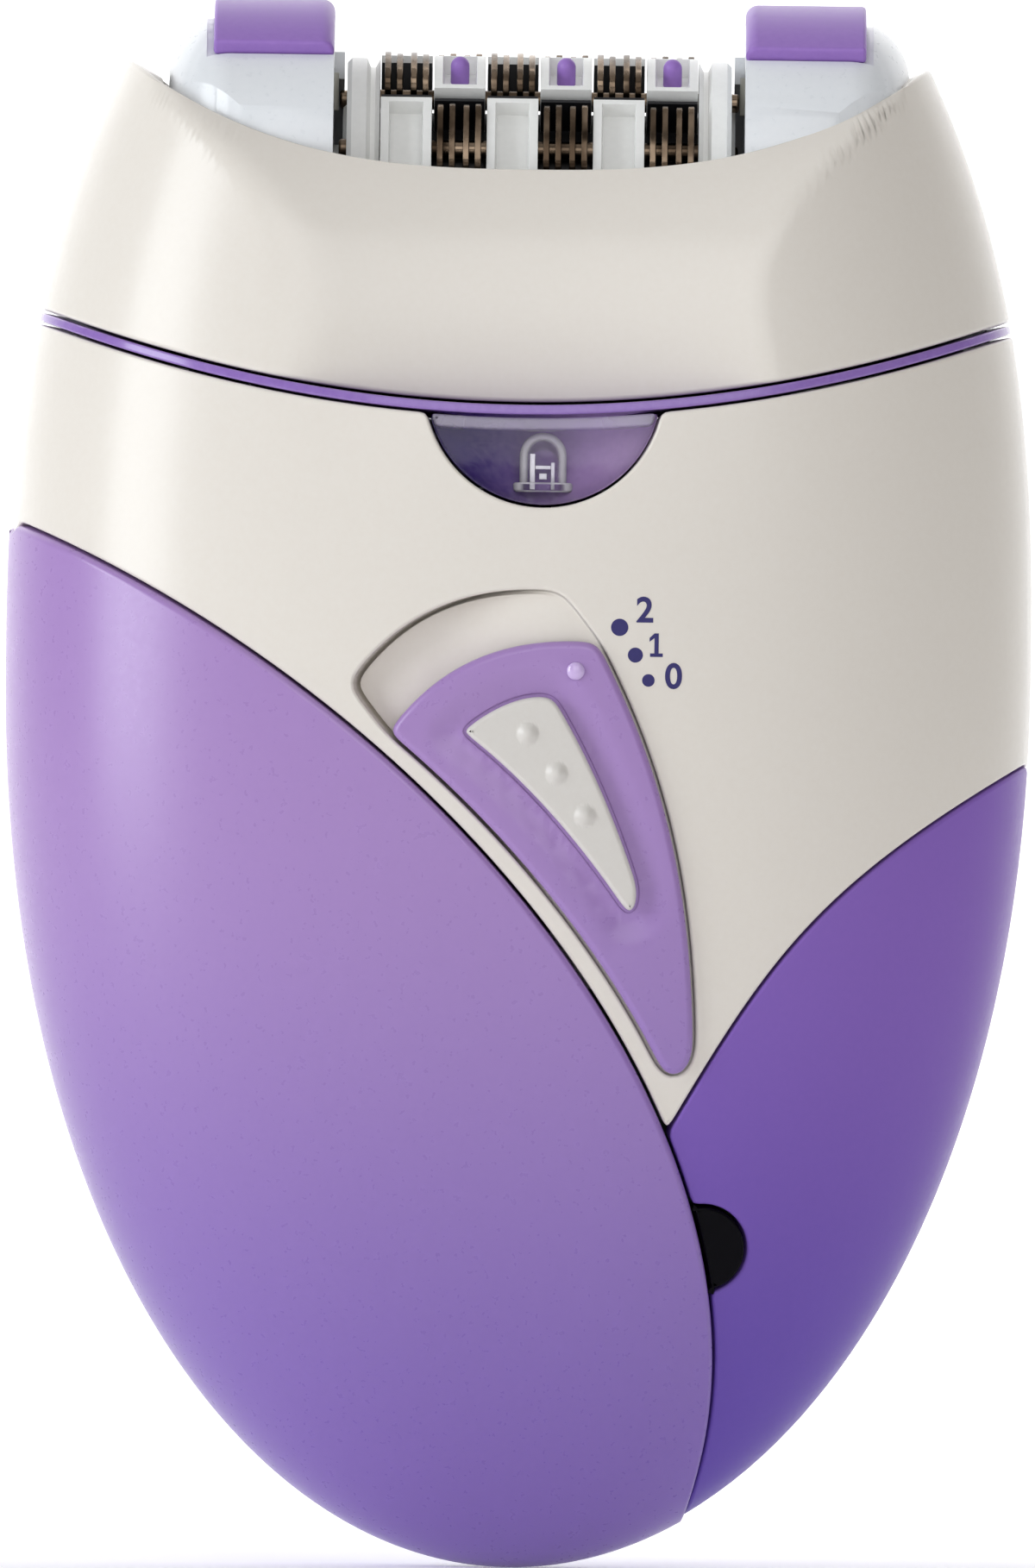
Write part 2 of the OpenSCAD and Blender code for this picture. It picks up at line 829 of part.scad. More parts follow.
module head_shell() {
    color(ivory) minkowski() difference() {
        intersection() {
            egg(0);
            wall_prism(below_lip, -far, far);
        }
        below_saddle(-0.1);
        scoop(0);
        difference() {
            egg(-head_wall);
            scoop(head_wall);
        }
        for (side = [-1, 1]) at_cap(side) cap_solid(0.1);
    }
}

module head_base() {
    color(plate_grey) minkowski() intersection() {
        difference() {
            egg(-head_wall - 0.1);
            scoop(head_wall + 0.1);
            below_saddle(-saddle_gap);
            gear_opening();
            leg_openings();
        }
        below_saddle(-saddle_gap - base_thickness);
    }
}

module gear_opening() {
    block(gear_x - 1, motor_x - 0.8, -8.5, 8.5, far, drum_z);
}

module leg_openings() {
    reach = leg_half + leg_hook + leg_gap;
    for (x = leg_spots)
        block(x - reach, x + reach, -leg_depth - leg_gap, leg_depth + leg_gap, far, drum_z);
}

module head_frame() {
    wall_x = gear_x + gear_width + gear_room;
    drum_room = tray_half + 0.1;
    color(plate_grey) difference() {
        union() {
            block(-frame_half, frame_half, -frame_depth, frame_depth, plate_base, cap_bottom);
            block(wall_x, wall_x + gear_wall, -leg_depth, leg_depth, idler_z - 1.5, drum_z - 4.4);
            for (x = leg_spots) {
                block(x - leg_half, x + leg_half, -leg_depth, leg_depth, leg_end, cap_bottom);
                block(x - leg_half - leg_hook, x + leg_half + leg_hook, -leg_depth, leg_depth,
                    plate_base, cap_bottom);
            }
        }
        block(gear_x - leg_hook, wall_x, -6.4, 6.4, 70, 82);
        block(head_x - drum_room, head_x + drum_room, -5.6, 5.6, 70, 82);
        rod_x(gear_pin_radius, gear_x, wall_x + 2, idler_z);
    }
}

module drum_tray() {
    low = drum_z - 0.1;
    high = drum_z + 0.6;
    color(cap_white) {
        drum_sector(tray_inner, tray_outer, -tray_half, tray_half, 270, 180);
        block(head_x - tray_half, head_x + tray_half, -tray_front, -tray_inner, low, high);
        block(head_x - tray_half, head_x + tray_half, tray_inner, tray_rear, low, high);
    }
}

module cap_outline(radius, length, corner) {
    square([radius - corner, length]);
    square([radius, length - corner]);
    translate([radius - corner, length - corner]) circle(r = corner, $fn = 64);
}

module at_cap(side) {
    translate([head_x + side * cap_start, 0, drum_z]) mirror([side < 0 ? 1 : 0, 0, 0]) children();
}

module cap_sector(r1, r2, x1, x2, half_angle) {
    rotate([0, 90, 0]) rotate([0, 0, 180 - half_angle])
        rotate_extrude(angle = 2 * half_angle, $fn = fine_sides)
        translate([r1, x1]) square([r2 - r1, x2 - x1]);
}

// The outside of a cap, grown by a margin.
module cap_solid(grow) {
    intersection() {
        revolve_x() cap_outline(cap_radius + grow, cap_length + grow, cap_corner);
        rod_z(cap_waist + grow, -far, far, cap_waist_x);
    }
}

module side_cap(side, inner_hole) {
    color(cap_white) at_cap(side) difference() {
        union() {
            difference() {
                cap_solid(0);
                cap_cavity();
                rod_x(inner_hole, -1, 2, 0);
                block(-1, 2, -roller_room, roller_room, roller_z - drum_z - roller_half - 0.3,
                    roller_z - drum_z + roller_half + 0.3);
                block(cap_wall, cap_length - axle_end - 1.1, -6.6, 6.6, cap_bottom - drum_z - 1, -4);
            }
            rod_x(2 * axle_radius, cap_length - axle_end - 1, cap_length - axle_end + 0.2, 0);
        }
        rod_x(axle_radius, 1, cap_length - axle_end, 0);
        rod_z(roller_pin, 7, cap_radius - axle_end, roller_x - cap_start);
        cap_sector(cap_radius - strip_seat, far, -1, strip_length + 0.45, strip_half_angle + 0.6);
        block(-1, cap_length + 1, -far, far, -far, cap_bottom - drum_z);
    }
    color(cap_white) collar(side);
}

// The hollow inside a cap.
module cap_cavity() {
    shell = 1.7;
    end = 2.4;
    intersection() {
        revolve_x(cap_wall) cap_outline(cap_radius - shell, cap_length - end, cap_corner - 1.5);
        rod_z(cap_waist - 1.3, -far, far, cap_waist_x);
    }
}

// Half ring on a cap's inner face that closes the gap behind the end of the drum.
module collar(side) {
    inner_end = drum_end + collar_gap;
    outer_end = cap_start + collar_root;
    drum_sector(collar_inner, collar_outer, side < 0 ? -outer_end : inner_end,
        side < 0 ? -inner_end : outer_end, collar_middle, collar_span);
}

module side_cap_left() {
    side_cap(-1, hub_radius + 0.3);
}

module side_cap_right() {
    side_cap(1, axle_radius + 0.3);
}

module massage_strip(side) {
    depth = strip_height + strip_seat - strip_fit;
    color(purple) at_cap(side) rotate([0, 90, 0]) rotate([0, 0, 180 - strip_half_angle])
        rotate_extrude(angle = 2 * strip_half_angle, $fn = fine_sides)
        translate([cap_radius - strip_seat + strip_fit, 0]) {
            square([depth - strip_corner, strip_length]);
            translate([0, strip_corner]) square([depth, strip_length - strip_corner]);
            intersection() {
                translate([depth - strip_corner, strip_corner]) circle(r = strip_corner, $fn = 32);
                square([depth, strip_length]);
            }
        }
}

module massage_strip_left() {
    massage_strip(-1);
}

module massage_strip_right() {
    massage_strip(1);
}

module drum_axle() {
    reach = cap_start + cap_length - axle_end;
    color(bright_steel) rod_x(axle_radius, head_x - reach, head_x + reach, drum_z);
}

module roller(side) {
    color(gear_white) difference() {
        rod_z(roller_radius, roller_z - roller_half, roller_z + roller_half, head_x + side * roller_x);
        rod_z(roller_bore, roller_z - 2, roller_z + 2, head_x + side * roller_x);
    }
}

module roller_left() {
    roller(-1);
}

module roller_right() {
    roller(1);
}

module roller_pins() {
    color(steel) for (side = [-1, 1])
        rod_z(roller_pin, roller_z - roller_half - 0.4, drum_z + cap_radius - axle_end,
            head_x + side * roller_x);
}

module idler_gear() {
    color(gear_white) gear(idler_teeth, gear_x, gear_width, idler_z, gear_bore, 180 / idler_teeth);
}

module idler_pin() {
    color(steel) {
        rod_x(gear_pin_radius, gear_x - 0.1, gear_x + gear_width + gear_room + gear_wall, idler_z);
        rod_x(gear_pin_head, gear_x - 0.5, gear_x - 0.1, idler_z);
    }
}

// ---------- drum ----------

function cell_x(j) = (j - cell_count / 2) * cell_width;
function is_metal(k, j) = (k + j) % 2 == 1;

disc_radius = 8.2;
block_root = 0.4;
block_gap = 6;
plate_gap = 9;
dome_radius = 0.6;
rod_push = 0.5;
rod_short = 0.6;
pair_gap = 0.5;

// Every fourth row has plain white blocks; the others carry a dome on each block.
function has_dome(k, j) = !is_metal(k, j) && k % 4 != 0;

module drum_gear() {
    color(gear_white) gear(drum_teeth, gear_x, gear_width, drum_z, hub_radius);
}

module drum_core() {
    color(gear_white) difference() {
        union() {
            rod_x(core_radius, head_x - cell_top, head_x + cell_top, drum_z);
            rod_x(disc_radius, head_x - drum_end, head_x - cell_top, drum_z);
            rod_x(disc_radius, head_x + cell_top, head_x + drum_end, drum_z);
            rod_x(hub_radius, gear_x, head_x, drum_z);
            for (k = [0:row_count - 1], j = [0:cell_count - 1])
                if (!is_metal(k, j))
                    drum_sector(core_radius - block_root, block_radius, cell_x(j), cell_x(j + 1),
                        row_angle * (k + 0.5), row_angle - block_gap);
        }
        rod_x(axle_radius + run, gear_x - 1, far, drum_z);
        for (k = [0:row_count - 1]) at_row(k, rod_orbit)
            rod_x(rod_radius + run, -far, far, 0);
        for (k = [0:row_count - 1], j = [0:cell_count - 1])
            if (has_dome(k, j)) at_row(k, 0) rotate([90 - row_angle * (k + 0.5), 0, 0])
                rod_z(dome_radius, block_radius - 1, block_radius + 1, cell_x(j + 0.5));
    }
}

module drum_domes() {
    color(purple) for (k = [0:row_count - 1], j = [0:cell_count - 1])
        if (has_dome(k, j)) at_row(k, 0) rotate([90 - row_angle * (k + 0.5), 0, 0]) {
            rod_z(dome_radius, block_radius - 1, block_radius, cell_x(j + 0.5));
            translate([cell_x(j + 0.5), 0, block_radius]) sphere(r = dome_radius, $fn = 24);
        }
}

// One plate of a tweezer pair, with the hole for its closing rod.
module tweezer_plate(k, x, radius, hole) {
    difference() {
        drum_sector(core_radius + run, radius, x, x + plate_thickness,
            row_angle * (k + 0.5), row_angle - plate_gap);
        at_row(k, rod_orbit) rod_x(hole, x - 1, x + 1, 0);
    }
}

// First edges of the two tweezer pairs in a cell.
function pair_starts(j) = [for (side = [-1, 1])
    cell_x(j + 0.5) + side * (pair_width + pair_gap) / 2 - pair_width / 2];

// Odd rows close towards +X and even rows towards -X.
function closes_right(k) = k % 2 == 0;

module fixed_tweezers() {
    color(steel) for (k = [0:row_count - 1], j = [0:cell_count - 1])
        if (is_metal(k, j)) for (x = pair_starts(j))
            tweezer_plate(k, closes_right(k) ? x + pair_width - plate_thickness : x,
                tweezer_radius, rod_radius + 0.1);
}

module closing_row(number) {
    k = number - 1;
    right = closes_right(k);
    color(bright_steel) {
        at_row(k, rod_orbit)
            rod_x(rod_radius, right ? -drum_end - rod_push : -drum_end + rod_short,
                right ? drum_end - rod_short : drum_end + rod_push, 0);
        for (j = [0:cell_count - 1]) if (is_metal(k, j)) for (x = pair_starts(j))
            tweezer_plate(k, right ? x : x + pair_width - plate_thickness,
                tweezer_radius - 0.1, rod_radius - 0.1);
    }
}

upper_shell();
front_cover();
rear_cover();
deck_ring();
light_reflector();
light_cover();
led();
switch_slider();
switch_pad();
switch_carrier();
slide_switch();
indicator_window();
indicator_led();
chassis();
motor_can();
motor_end_cap();
motor_shaft();
motor_pinion();
stepped_gear();
stepped_gear_pin();
circuit_board();
board_chips();
board_capacitors();
dc_socket();
dc_pin();
case_screws();
label_plate();
motor_terminals();
head_shell();
head_base();
head_frame();
drum_tray();
side_cap_left();
side_cap_right();
massage_strip_left();
massage_strip_right();
drum_axle();
roller_left();
roller_right();
roller_pins();
idler_gear();
idler_pin();
drum_gear();
drum_core();
fixed_tweezers();
drum_domes();
closing_row(1);  // closing_row_1
closing_row(2);  // closing_row_2
closing_row(3);  // closing_row_3
closing_row(4);  // closing_row_4
closing_row(5);  // closing_row_5
closing_row(6);  // closing_row_6
closing_row(7);  // closing_row_7
closing_row(8);  // closing_row_8
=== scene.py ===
import json
import math
from collections import namedtuple

import bmesh
import bpy
import numpy as np
from mathutils import Matrix, Vector
from mathutils.geometry import delaunay_2d_cdt
from mathutils.kdtree import KDTree


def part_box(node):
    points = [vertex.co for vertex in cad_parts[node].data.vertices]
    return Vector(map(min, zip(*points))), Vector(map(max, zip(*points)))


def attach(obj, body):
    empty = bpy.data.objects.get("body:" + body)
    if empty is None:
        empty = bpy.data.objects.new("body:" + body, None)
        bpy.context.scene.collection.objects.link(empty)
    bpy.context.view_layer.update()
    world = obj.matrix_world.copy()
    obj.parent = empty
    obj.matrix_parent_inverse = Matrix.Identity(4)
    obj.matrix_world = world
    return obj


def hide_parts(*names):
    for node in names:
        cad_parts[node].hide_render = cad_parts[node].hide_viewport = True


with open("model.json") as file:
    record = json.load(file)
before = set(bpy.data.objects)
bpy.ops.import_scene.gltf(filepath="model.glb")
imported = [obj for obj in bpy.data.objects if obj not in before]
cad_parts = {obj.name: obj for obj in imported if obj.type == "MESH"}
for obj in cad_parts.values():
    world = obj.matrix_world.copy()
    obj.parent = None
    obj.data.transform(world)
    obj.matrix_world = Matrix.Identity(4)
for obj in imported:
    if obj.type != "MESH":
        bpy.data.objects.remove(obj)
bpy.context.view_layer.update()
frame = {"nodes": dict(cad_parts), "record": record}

MM = 0.001
SLOTS = {part["node"]: part["material_slot"] for part in frame["record"]["subparts"]}

# ---------- the body surface, in millimetres ----------

HALF_WIDTH = 32.7
HALF_DEPTH = 18.2
WIDEST_Z = 58.0
LOWER_SPAN = 57.7
UPPER_SPAN = 67.0
SECTION = 2.3
LOWER_POWER = 2.15
UPPER_POWER = 2.6
UPPER_ROOT = 1 / 1.1
SURFACE_TOP_Z = 104.0
MEAN_RADIUS = 0.8 * HALF_WIDTH
RING_Z = 74.4
RING_RADIUS = 85.0
RING_THICKNESS = 0.75
LIP_Z = 89.6
LIP_RISE = 6.9
LIP_HALF_WIDTH = 25.7
LIP_POWER = 2.8
SCOOP_DEPTH = 14.95
SCOOP_AXIS = 120.0
SCOOP_LEAN = 680.0
SCOOP_START_Z = 76.0
SCOOP_BLEND_LEFT = 0.9
SCOOP_BLEND_RIGHT = 0.3
SCOOP_BLEND_WIDTH = 4.0
HEAD_X = 0.7
DECK_INSET = 3.0
DRUM_Z = 88.4

SEAM_LEFT = [[-35.3, 67.7], [-3.7, 56], [19.9, 25.6], [11.1, 3.3]]
SEAM_RIGHT = [[9.8, 28.2], [16.6, 40], [19.5, 44.5], [35.5, 53.6]]
SEAM_BACK = [[-34, 66.06], [-12, 75], [8, 66], [33.5, 51.36]]
SLIDER_TOP = [[-8.5, 53.4], [-5.6, 57.6], [-1.4, 59.9], [4.9, 59.4]]
SLIDER_RIGHT = [[4.9, 59.4], [9.2, 51.5], [11.2, 44], [11.4, 33.6]]
SLIDER_TIP = [[11.4, 33.6], [11.3, 31.8], [10.1, 31], [9.2, 32.1]]
SLIDER_LEFT = [[9.2, 32.1], [5.6, 39.4], [-0.8, 47.2], [-8.5, 53.4]]
PAD_TOP = [[-3.9, 53.5], [-1.6, 55.6], [0.8, 56.3], [2.2, 55.9]]
PAD_RIGHT = [[2.2, 55.9], [4.9, 51.6], [6.6, 47.2], [7.7, 43.9]]
PAD_TIP = [[7.7, 43.9], [7.8, 42.4], [7.5, 41.8], [6.9, 41.9]]
PAD_LEFT = [[6.9, 41.9], [4, 46.1], [0.6, 50.2], [-3.9, 53.5]]
SLIDE_STEP = np.array([-0.62, 0.78]) * 3.9
LIGHT_CENTRE = (1.25, 75.44)
LIGHT_RADIUS = 7.54
SCREW_SPOTS = ((-10, 60.5), (14, 50), (0, 22))
WINDOW_CENTRE = (12.15, 20.75)
WINDOW_RADIUS = 2.75
INLET_HOLE = 4.05
INLET_Y = 5.05


def share(z):
    """Width of the body at height z as a share of its widest."""
    z = np.asarray(z, float)
    low = np.clip((WIDEST_Z - z) / LOWER_SPAN, 0, 1)
    high = np.clip((z - WIDEST_Z) / UPPER_SPAN, 0, 1)
    below = np.sqrt(np.maximum(1 - low ** LOWER_POWER, 0))
    above = (1 - high ** UPPER_POWER) ** UPPER_ROOT
    return np.where(z < WIDEST_Z, below, above)


def meridian(count=6000):
    """Heights up the body and the distance of each from the bottom tip along the surface."""
    turn = np.linspace(0, math.pi / 2, count)
    upper_z = np.linspace(WIDEST_Z, SURFACE_TOP_Z, count)[1:]
    z = np.concatenate([WIDEST_Z - LOWER_SPAN * np.cos(turn), upper_z])
    radius = MEAN_RADIUS * share(z)
    steps = np.hypot(np.diff(radius), np.diff(z))
    return z, np.concatenate([[0], np.cumsum(steps)])


MERIDIAN_Z, MERIDIAN_ARC = meridian()


def skin(uv):
    """Points of the body surface. uv is a plane map of it seen from the bottom tip:
    the distance from the origin is the way up the surface, the angle is the way round."""
    arc = np.hypot(uv[..., 0], uv[..., 1])
    turn = np.arctan2(uv[..., 1], uv[..., 0])
    z = np.interp(arc, MERIDIAN_ARC, MERIDIAN_Z)
    c, s = np.cos(turn), np.sin(turn)
    reach = share(z) * (np.abs(c) ** SECTION + np.abs(s) ** SECTION) ** (-1 / SECTION)
    return np.stack([HALF_WIDTH * reach * c, HALF_DEPTH * reach * s, z], -1)


def uv_of(x, y, z):
    turn = np.arctan2(y / HALF_DEPTH, x / HALF_WIDTH)
    arc = np.interp(z, MERIDIAN_Z, MERIDIAN_ARC)
    return np.stack([arc * np.cos(turn), arc * np.sin(turn)], -1)


def uv_side(x, z, side=-1):
    """The point of the front (side -1) or back (side 1) of the body at x, z."""
    width = HALF_WIDTH * share(z)
    flat = np.clip(1 - np.clip(np.abs(x) / width, 0, 1) ** SECTION, 0, 1)
    return uv_of(x, side * HALF_DEPTH * share(z) * flat ** (1 / SECTION), z)


def uv_below(x, y):
    """The point of the underside of the body at x, y."""
    reach = (np.abs(x / HALF_WIDTH) ** SECTION + np.abs(y / HALF_DEPTH) ** SECTION) ** (1 / SECTION)
    return uv_of(x, y, WIDEST_Z - LOWER_SPAN * (1 - reach ** 2) ** (1 / LOWER_POWER))


def scoop_y(x, z):
    """The hollow face of the scoop: part of a barrel that stands in front of the body."""
    middle = np.maximum(0, z - SCOOP_START_Z) ** 3 / SCOOP_LEAN - SCOOP_DEPTH
    return np.sqrt((SCOOP_AXIS + middle) ** 2 - (x - HEAD_X) ** 2) - SCOOP_AXIS


def head_skin(uv):
    """The body surface with the hollow scoop taken off the front of the head."""
    p = skin(uv)
    out, face = -p[..., 1], -scoop_y(p[..., 0], p[..., 2])
    left = 0.5 - 0.5 * np.tanh(p[..., 0] / SCOOP_BLEND_WIDTH)
    blend = SCOOP_BLEND_RIGHT + (SCOOP_BLEND_LEFT - SCOOP_BLEND_RIGHT) * left
    h = np.clip(0.5 + 0.5 * (face - out) / blend, 0, 1)
    lower = face * (1 - h) + out * h - blend * h * (1 - h)
    return np.stack([p[..., 0], np.where(out > 0, -lower, p[..., 1]), p[..., 2]], -1)


def unit(v):
    return v / np.maximum(np.linalg.norm(v, axis=-1, keepdims=True), 1e-12)


def slopes(point, uv, e=0.03):
    du, dv = np.array([e, 0]), np.array([0, e])
    return (point(uv + du) - point(uv - du)) / (2 * e), (point(uv + dv) - point(uv - dv)) / (2 * e)


def normal(point, uv):
    """Outward normal of a surface given in the plane map."""
    pu, pv = slopes(point, uv)
    return unit(np.cross(pv, pu))


def lifted(point, lift):
    """A surface raised by lift, a number or a function of the points below it."""
    def raised(uv):
        p = point(uv)
        d = lift(p) if callable(lift) else lift
        return p + np.reshape(d, np.shape(d) + (1,) if np.ndim(d) else ()) * normal(point, uv)
    return raised


# ---------- outlines ----------

def bezier(p, n=240):
    t = np.linspace(0, 1, n + 1)[:, None]
    p = np.array(p, float)
    return (1 - t) ** 3 * p[0] + 3 * (1 - t) ** 2 * t * p[1] + 3 * (1 - t) * t ** 2 * p[2] + t ** 3 * p[3]


def within(xz):
    """The part of an x, z curve that lies on the body and not beside it."""
    return xz[np.abs(xz[:, 0]) < HALF_WIDTH * share(xz[:, 1]) * 0.99999]


def front(xz):
    return uv_side(xz[:, 0], xz[:, 1], -1)


def back(xz):
    return uv_side(xz[:, 0], xz[:, 1], 1)


HALVINGS = 50


def level_line(height, low=60, high=103.5, count=1600):
    """The line round the body where z = height(x), starting at the back."""
    turn = np.linspace(0, 2 * math.pi, count, endpoint=False) + math.pi / 2
    c, s = np.cos(turn), np.sin(turn)
    reach = (np.abs(c) ** SECTION + np.abs(s) ** SECTION) ** (-1 / SECTION)
    lo, hi = np.full(count, low, float), np.full(count, high, float)
    for _ in range(HALVINGS):
        z = (lo + hi) / 2
        under = z < height(HALF_WIDTH * share(z) * reach * c)
        lo, hi = np.where(under, z, lo), np.where(under, hi, z)
    arc = np.interp(z, MERIDIAN_Z, MERIDIAN_ARC)
    return np.stack([arc * c, arc * s], -1)


def ring_height(x):
    return RING_Z + x ** 2 / (2 * RING_RADIUS)


def lip_height(x):
    return LIP_Z + LIP_RISE * (np.abs(x) / LIP_HALF_WIDTH) ** LIP_POWER


def arc_points(centre, radius, start, end, count=160):
    """x, z points of a circle between two angles, in degrees from +x towards +z."""
    a = np.radians(np.linspace(start, end, count))
    return np.stack([centre[0] + radius * np.cos(a), centre[1] + radius * np.sin(a)], -1)


def around_corner(centre, radius, begin, end, clockwise):
    """The circle's points from near one x, z point to near another."""
    a = math.degrees(math.atan2(begin[1] - centre[1], begin[0] - centre[0]))
    b = math.degrees(math.atan2(end[1] - centre[1], end[0] - centre[0]))
    if clockwise and b > a:
        b -= 360
    if not clockwise and b < a:
        b += 360
    return arc_points(centre, radius, a, b)


def outside(xz, centre, radius):
    return np.hypot(xz[:, 0] - centre[0], xz[:, 1] - centre[1]) > radius


def rounded_loop(uv, point, step, smooth=3):
    """A closed outline with evenly spaced points and its corners softened."""
    p = point(uv)
    length = np.linalg.norm(np.diff(np.vstack([p, p[:1]]), axis=0), axis=1)
    at = np.concatenate([[0], np.cumsum(length)])
    closed = np.vstack([uv, uv[:1]])
    count = max(12, int(round(at[-1] / step)))
    want = np.arange(count) * at[-1] / count
    loop = np.stack([np.interp(want, at, closed[:, i]) for i in (0, 1)], -1)
    for _ in range(smooth):
        loop = (np.roll(loop, 1, 0) + 2 * loop + np.roll(loop, -1, 0)) / 4
    return loop


def disc_loop(x, z, radius, side=-1, count=48):
    a = np.linspace(0, 2 * math.pi, count, endpoint=False)
    return uv_side(x + radius * np.cos(a), z + radius * np.sin(a), side)


def inside(points, loops):
    """Which plane points lie inside an odd number of the outlines."""
    odd = np.zeros(len(points), bool)
    for loop in loops:
        a, b = loop, np.roll(loop, -1, 0)
        for start in range(0, len(points), 4000):
            p = points[start:start + 4000]
            crosses = (a[None, :, 1] > p[:, None, 1]) != (b[None, :, 1] > p[:, None, 1])
            rise = b[:, 1] - a[:, 1]
            rise = np.where(np.abs(rise) < 1e-15, 1e-15, rise)
            x = a[:, 0] + (p[:, None, 1] - a[:, 1]) * (b[:, 0] - a[:, 0]) / rise
            odd[start:start + 4000] ^= (crosses & (p[:, None, 0] < x)).sum(1) % 2 == 1
    return odd


# ---------- solid pieces on a surface ----------

ROW_SHARE = 0.9
GIRTH_SHARE = 0.82
ROW_TWIST = 0.003
TRIANGLE_ROW = 0.866
CLEAR_OF_EDGE = 0.62
GROOVE_RISE = 1.4
PROBE = 0.3
Floor = namedtuple("Floor", "top under groove width step", defaults=(None, 0.0, 0.7))


def settle(obj, body, node):
    """Attaches a piece to the body it moves with and hides the CAD node that it stands for."""
    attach(obj, body)
    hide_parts(node)


def linked(name, mesh, material):
    """A new object of the scene from a mesh and its material."""
    mesh.materials.append(material)
    obj = bpy.data.objects.new(name, mesh)
    bpy.context.scene.collection.objects.link(obj)
    return obj


def edge_frame(point, loop):
    p = point(loop)
    along = unit(np.roll(p, -1, 0) - np.roll(p, 1, 0))
    n = normal(point, loop)
    return p, n, unit(np.cross(n, along))


def shifted(point, loop, direction, distance):
    """An outline moved along the surface by a distance."""
    pu, pv = slopes(point, loop)
    want = direction * distance
    a, b, c = (pu * pu).sum(-1), (pu * pv).sum(-1), (pv * pv).sum(-1)
    f, g = (pu * want).sum(-1), (pv * want).sum(-1)
    det = a * c - b * b
    return loop + np.stack([(c * f - b * g) / det, (a * g - b * f) / det], -1)


def whole_grid(step):
    """Plane points spread evenly over the whole body surface."""
    rows = []
    for k, arc in enumerate(np.arange(step / 2, MERIDIAN_ARC[-1], step * ROW_SHARE)):
        z = np.interp(arc, MERIDIAN_ARC, MERIDIAN_Z)
        count = max(6, int(2 * math.pi * GIRTH_SHARE * HALF_WIDTH * share(z) / step))
        a = (np.arange(count) + 0.5 * (k % 2)) * 2 * math.pi / count + ROW_TWIST * k
        rows.append(np.stack([arc * np.cos(a), arc * np.sin(a)], -1))
    return np.vstack(rows)


def patch_grid(point, loop, step):
    """Plane points spread evenly over a small outline."""
    centre = loop.mean(0)
    pu, pv = slopes(point, centre)
    e1 = unit(pu)
    n = unit(np.cross(pu, pv))
    e2 = np.cross(n, e1)
    to_flat = np.array([[pu @ e1, pv @ e1], [pu @ e2, pv @ e2]])
    flat = (loop - centre) @ to_flat.T
    lo, hi = flat.min(0), flat.max(0)
    rows = np.arange(lo[1] - step, hi[1] + step, step * TRIANGLE_ROW)
    columns = np.arange(lo[0] - step, hi[0] + step, step)
    grid = np.array([[x + 0.5 * step * (k % 2), y] for k, y in enumerate(rows) for x in columns])
    return grid @ np.linalg.inv(to_flat).T + centre


def triangulate(point, loops, grid, step):
    """Plane points and triangles that fill the outlines; the outlines' points come first."""
    ring = np.vstack(loops)
    tree = KDTree(len(ring))
    for i, p in enumerate(point(ring)):
        tree.insert(p, i)
    tree.balance()
    grid = grid[inside(grid, loops)]
    keep = [tree.find(p)[2] > CLEAR_OF_EDGE * step for p in point(grid)]
    points = np.vstack([ring, grid[np.array(keep, bool)]]) if len(grid) else ring
    edges, start = [], 0
    for loop in loops:
        n = len(loop)
        edges += [(start + i, start + (i + 1) % n) for i in range(n)]
        start += n
    _, _, faces, origins, _, _ = delaunay_2d_cdt([Vector(p) for p in points], edges, [], 0, 1e-9, True)
    back_to = np.array([o[0] if len(o) else -1 for o in origins])
    tris = back_to[np.array([f for f in faces if len(f) == 3])]
    tris = tris[(tris >= 0).all(1)]
    centres = points[tris].mean(1)
    tris = tris[inside(centres, loops)]
    a, b, c = points[tris[:, 0]], points[tris[:, 1]], points[tris[:, 2]]
    area = (b[:, 0] - a[:, 0]) * (c[:, 1] - a[:, 1]) - (b[:, 1] - a[:, 1]) * (c[:, 0] - a[:, 0])
    tris[area > 0] = tris[area > 0][:, ::-1]
    return points, tris


class Solid:
    """Collects points, faces and the normal at each face corner."""

    def __init__(self):
        self.points, self.faces, self.normals, self.count = [], [], [], 0

    def add(self, points):
        first = self.count
        self.points.append(np.asarray(points, float))
        self.count += len(points)
        return np.arange(first, self.count)

    def fill(self, tris, index, normals, flip=False):
        tris = tris[:, ::-1] if flip else tris
        self.faces.append(index[tris])
        self.normals.append(normals[tris])

    def band(self, upper, lower, n_upper, n_lower, flip=False):
        """Quads between two rows of points that run round the same outline."""
        u2, l2 = np.roll(upper, -1), np.roll(lower, -1)
        nu2, nl2 = np.roll(n_upper, -1, 0), np.roll(n_lower, -1, 0)
        quads = np.stack([lower, l2, u2, upper], -1)
        ns = np.stack([n_lower, nl2, nu2, n_upper], 1)
        if flip:
            quads, ns = quads[:, ::-1], ns[:, ::-1]
        self.faces.append(quads)
        self.normals.append(ns)

    def build(self, name, material):
        points = np.vstack(self.points) * MM
        faces = [list(map(int, f)) for group in self.faces for f in group]
        normals = np.vstack([n.reshape(-1, 3) for n in self.normals])
        mesh = bpy.data.meshes.new(name)
        mesh.from_pydata([tuple(p) for p in points], [], faces)
        mesh.shade_smooth()
        mesh.normals_split_custom_set([tuple(n) for n in normals])
        return linked(name, mesh, material)


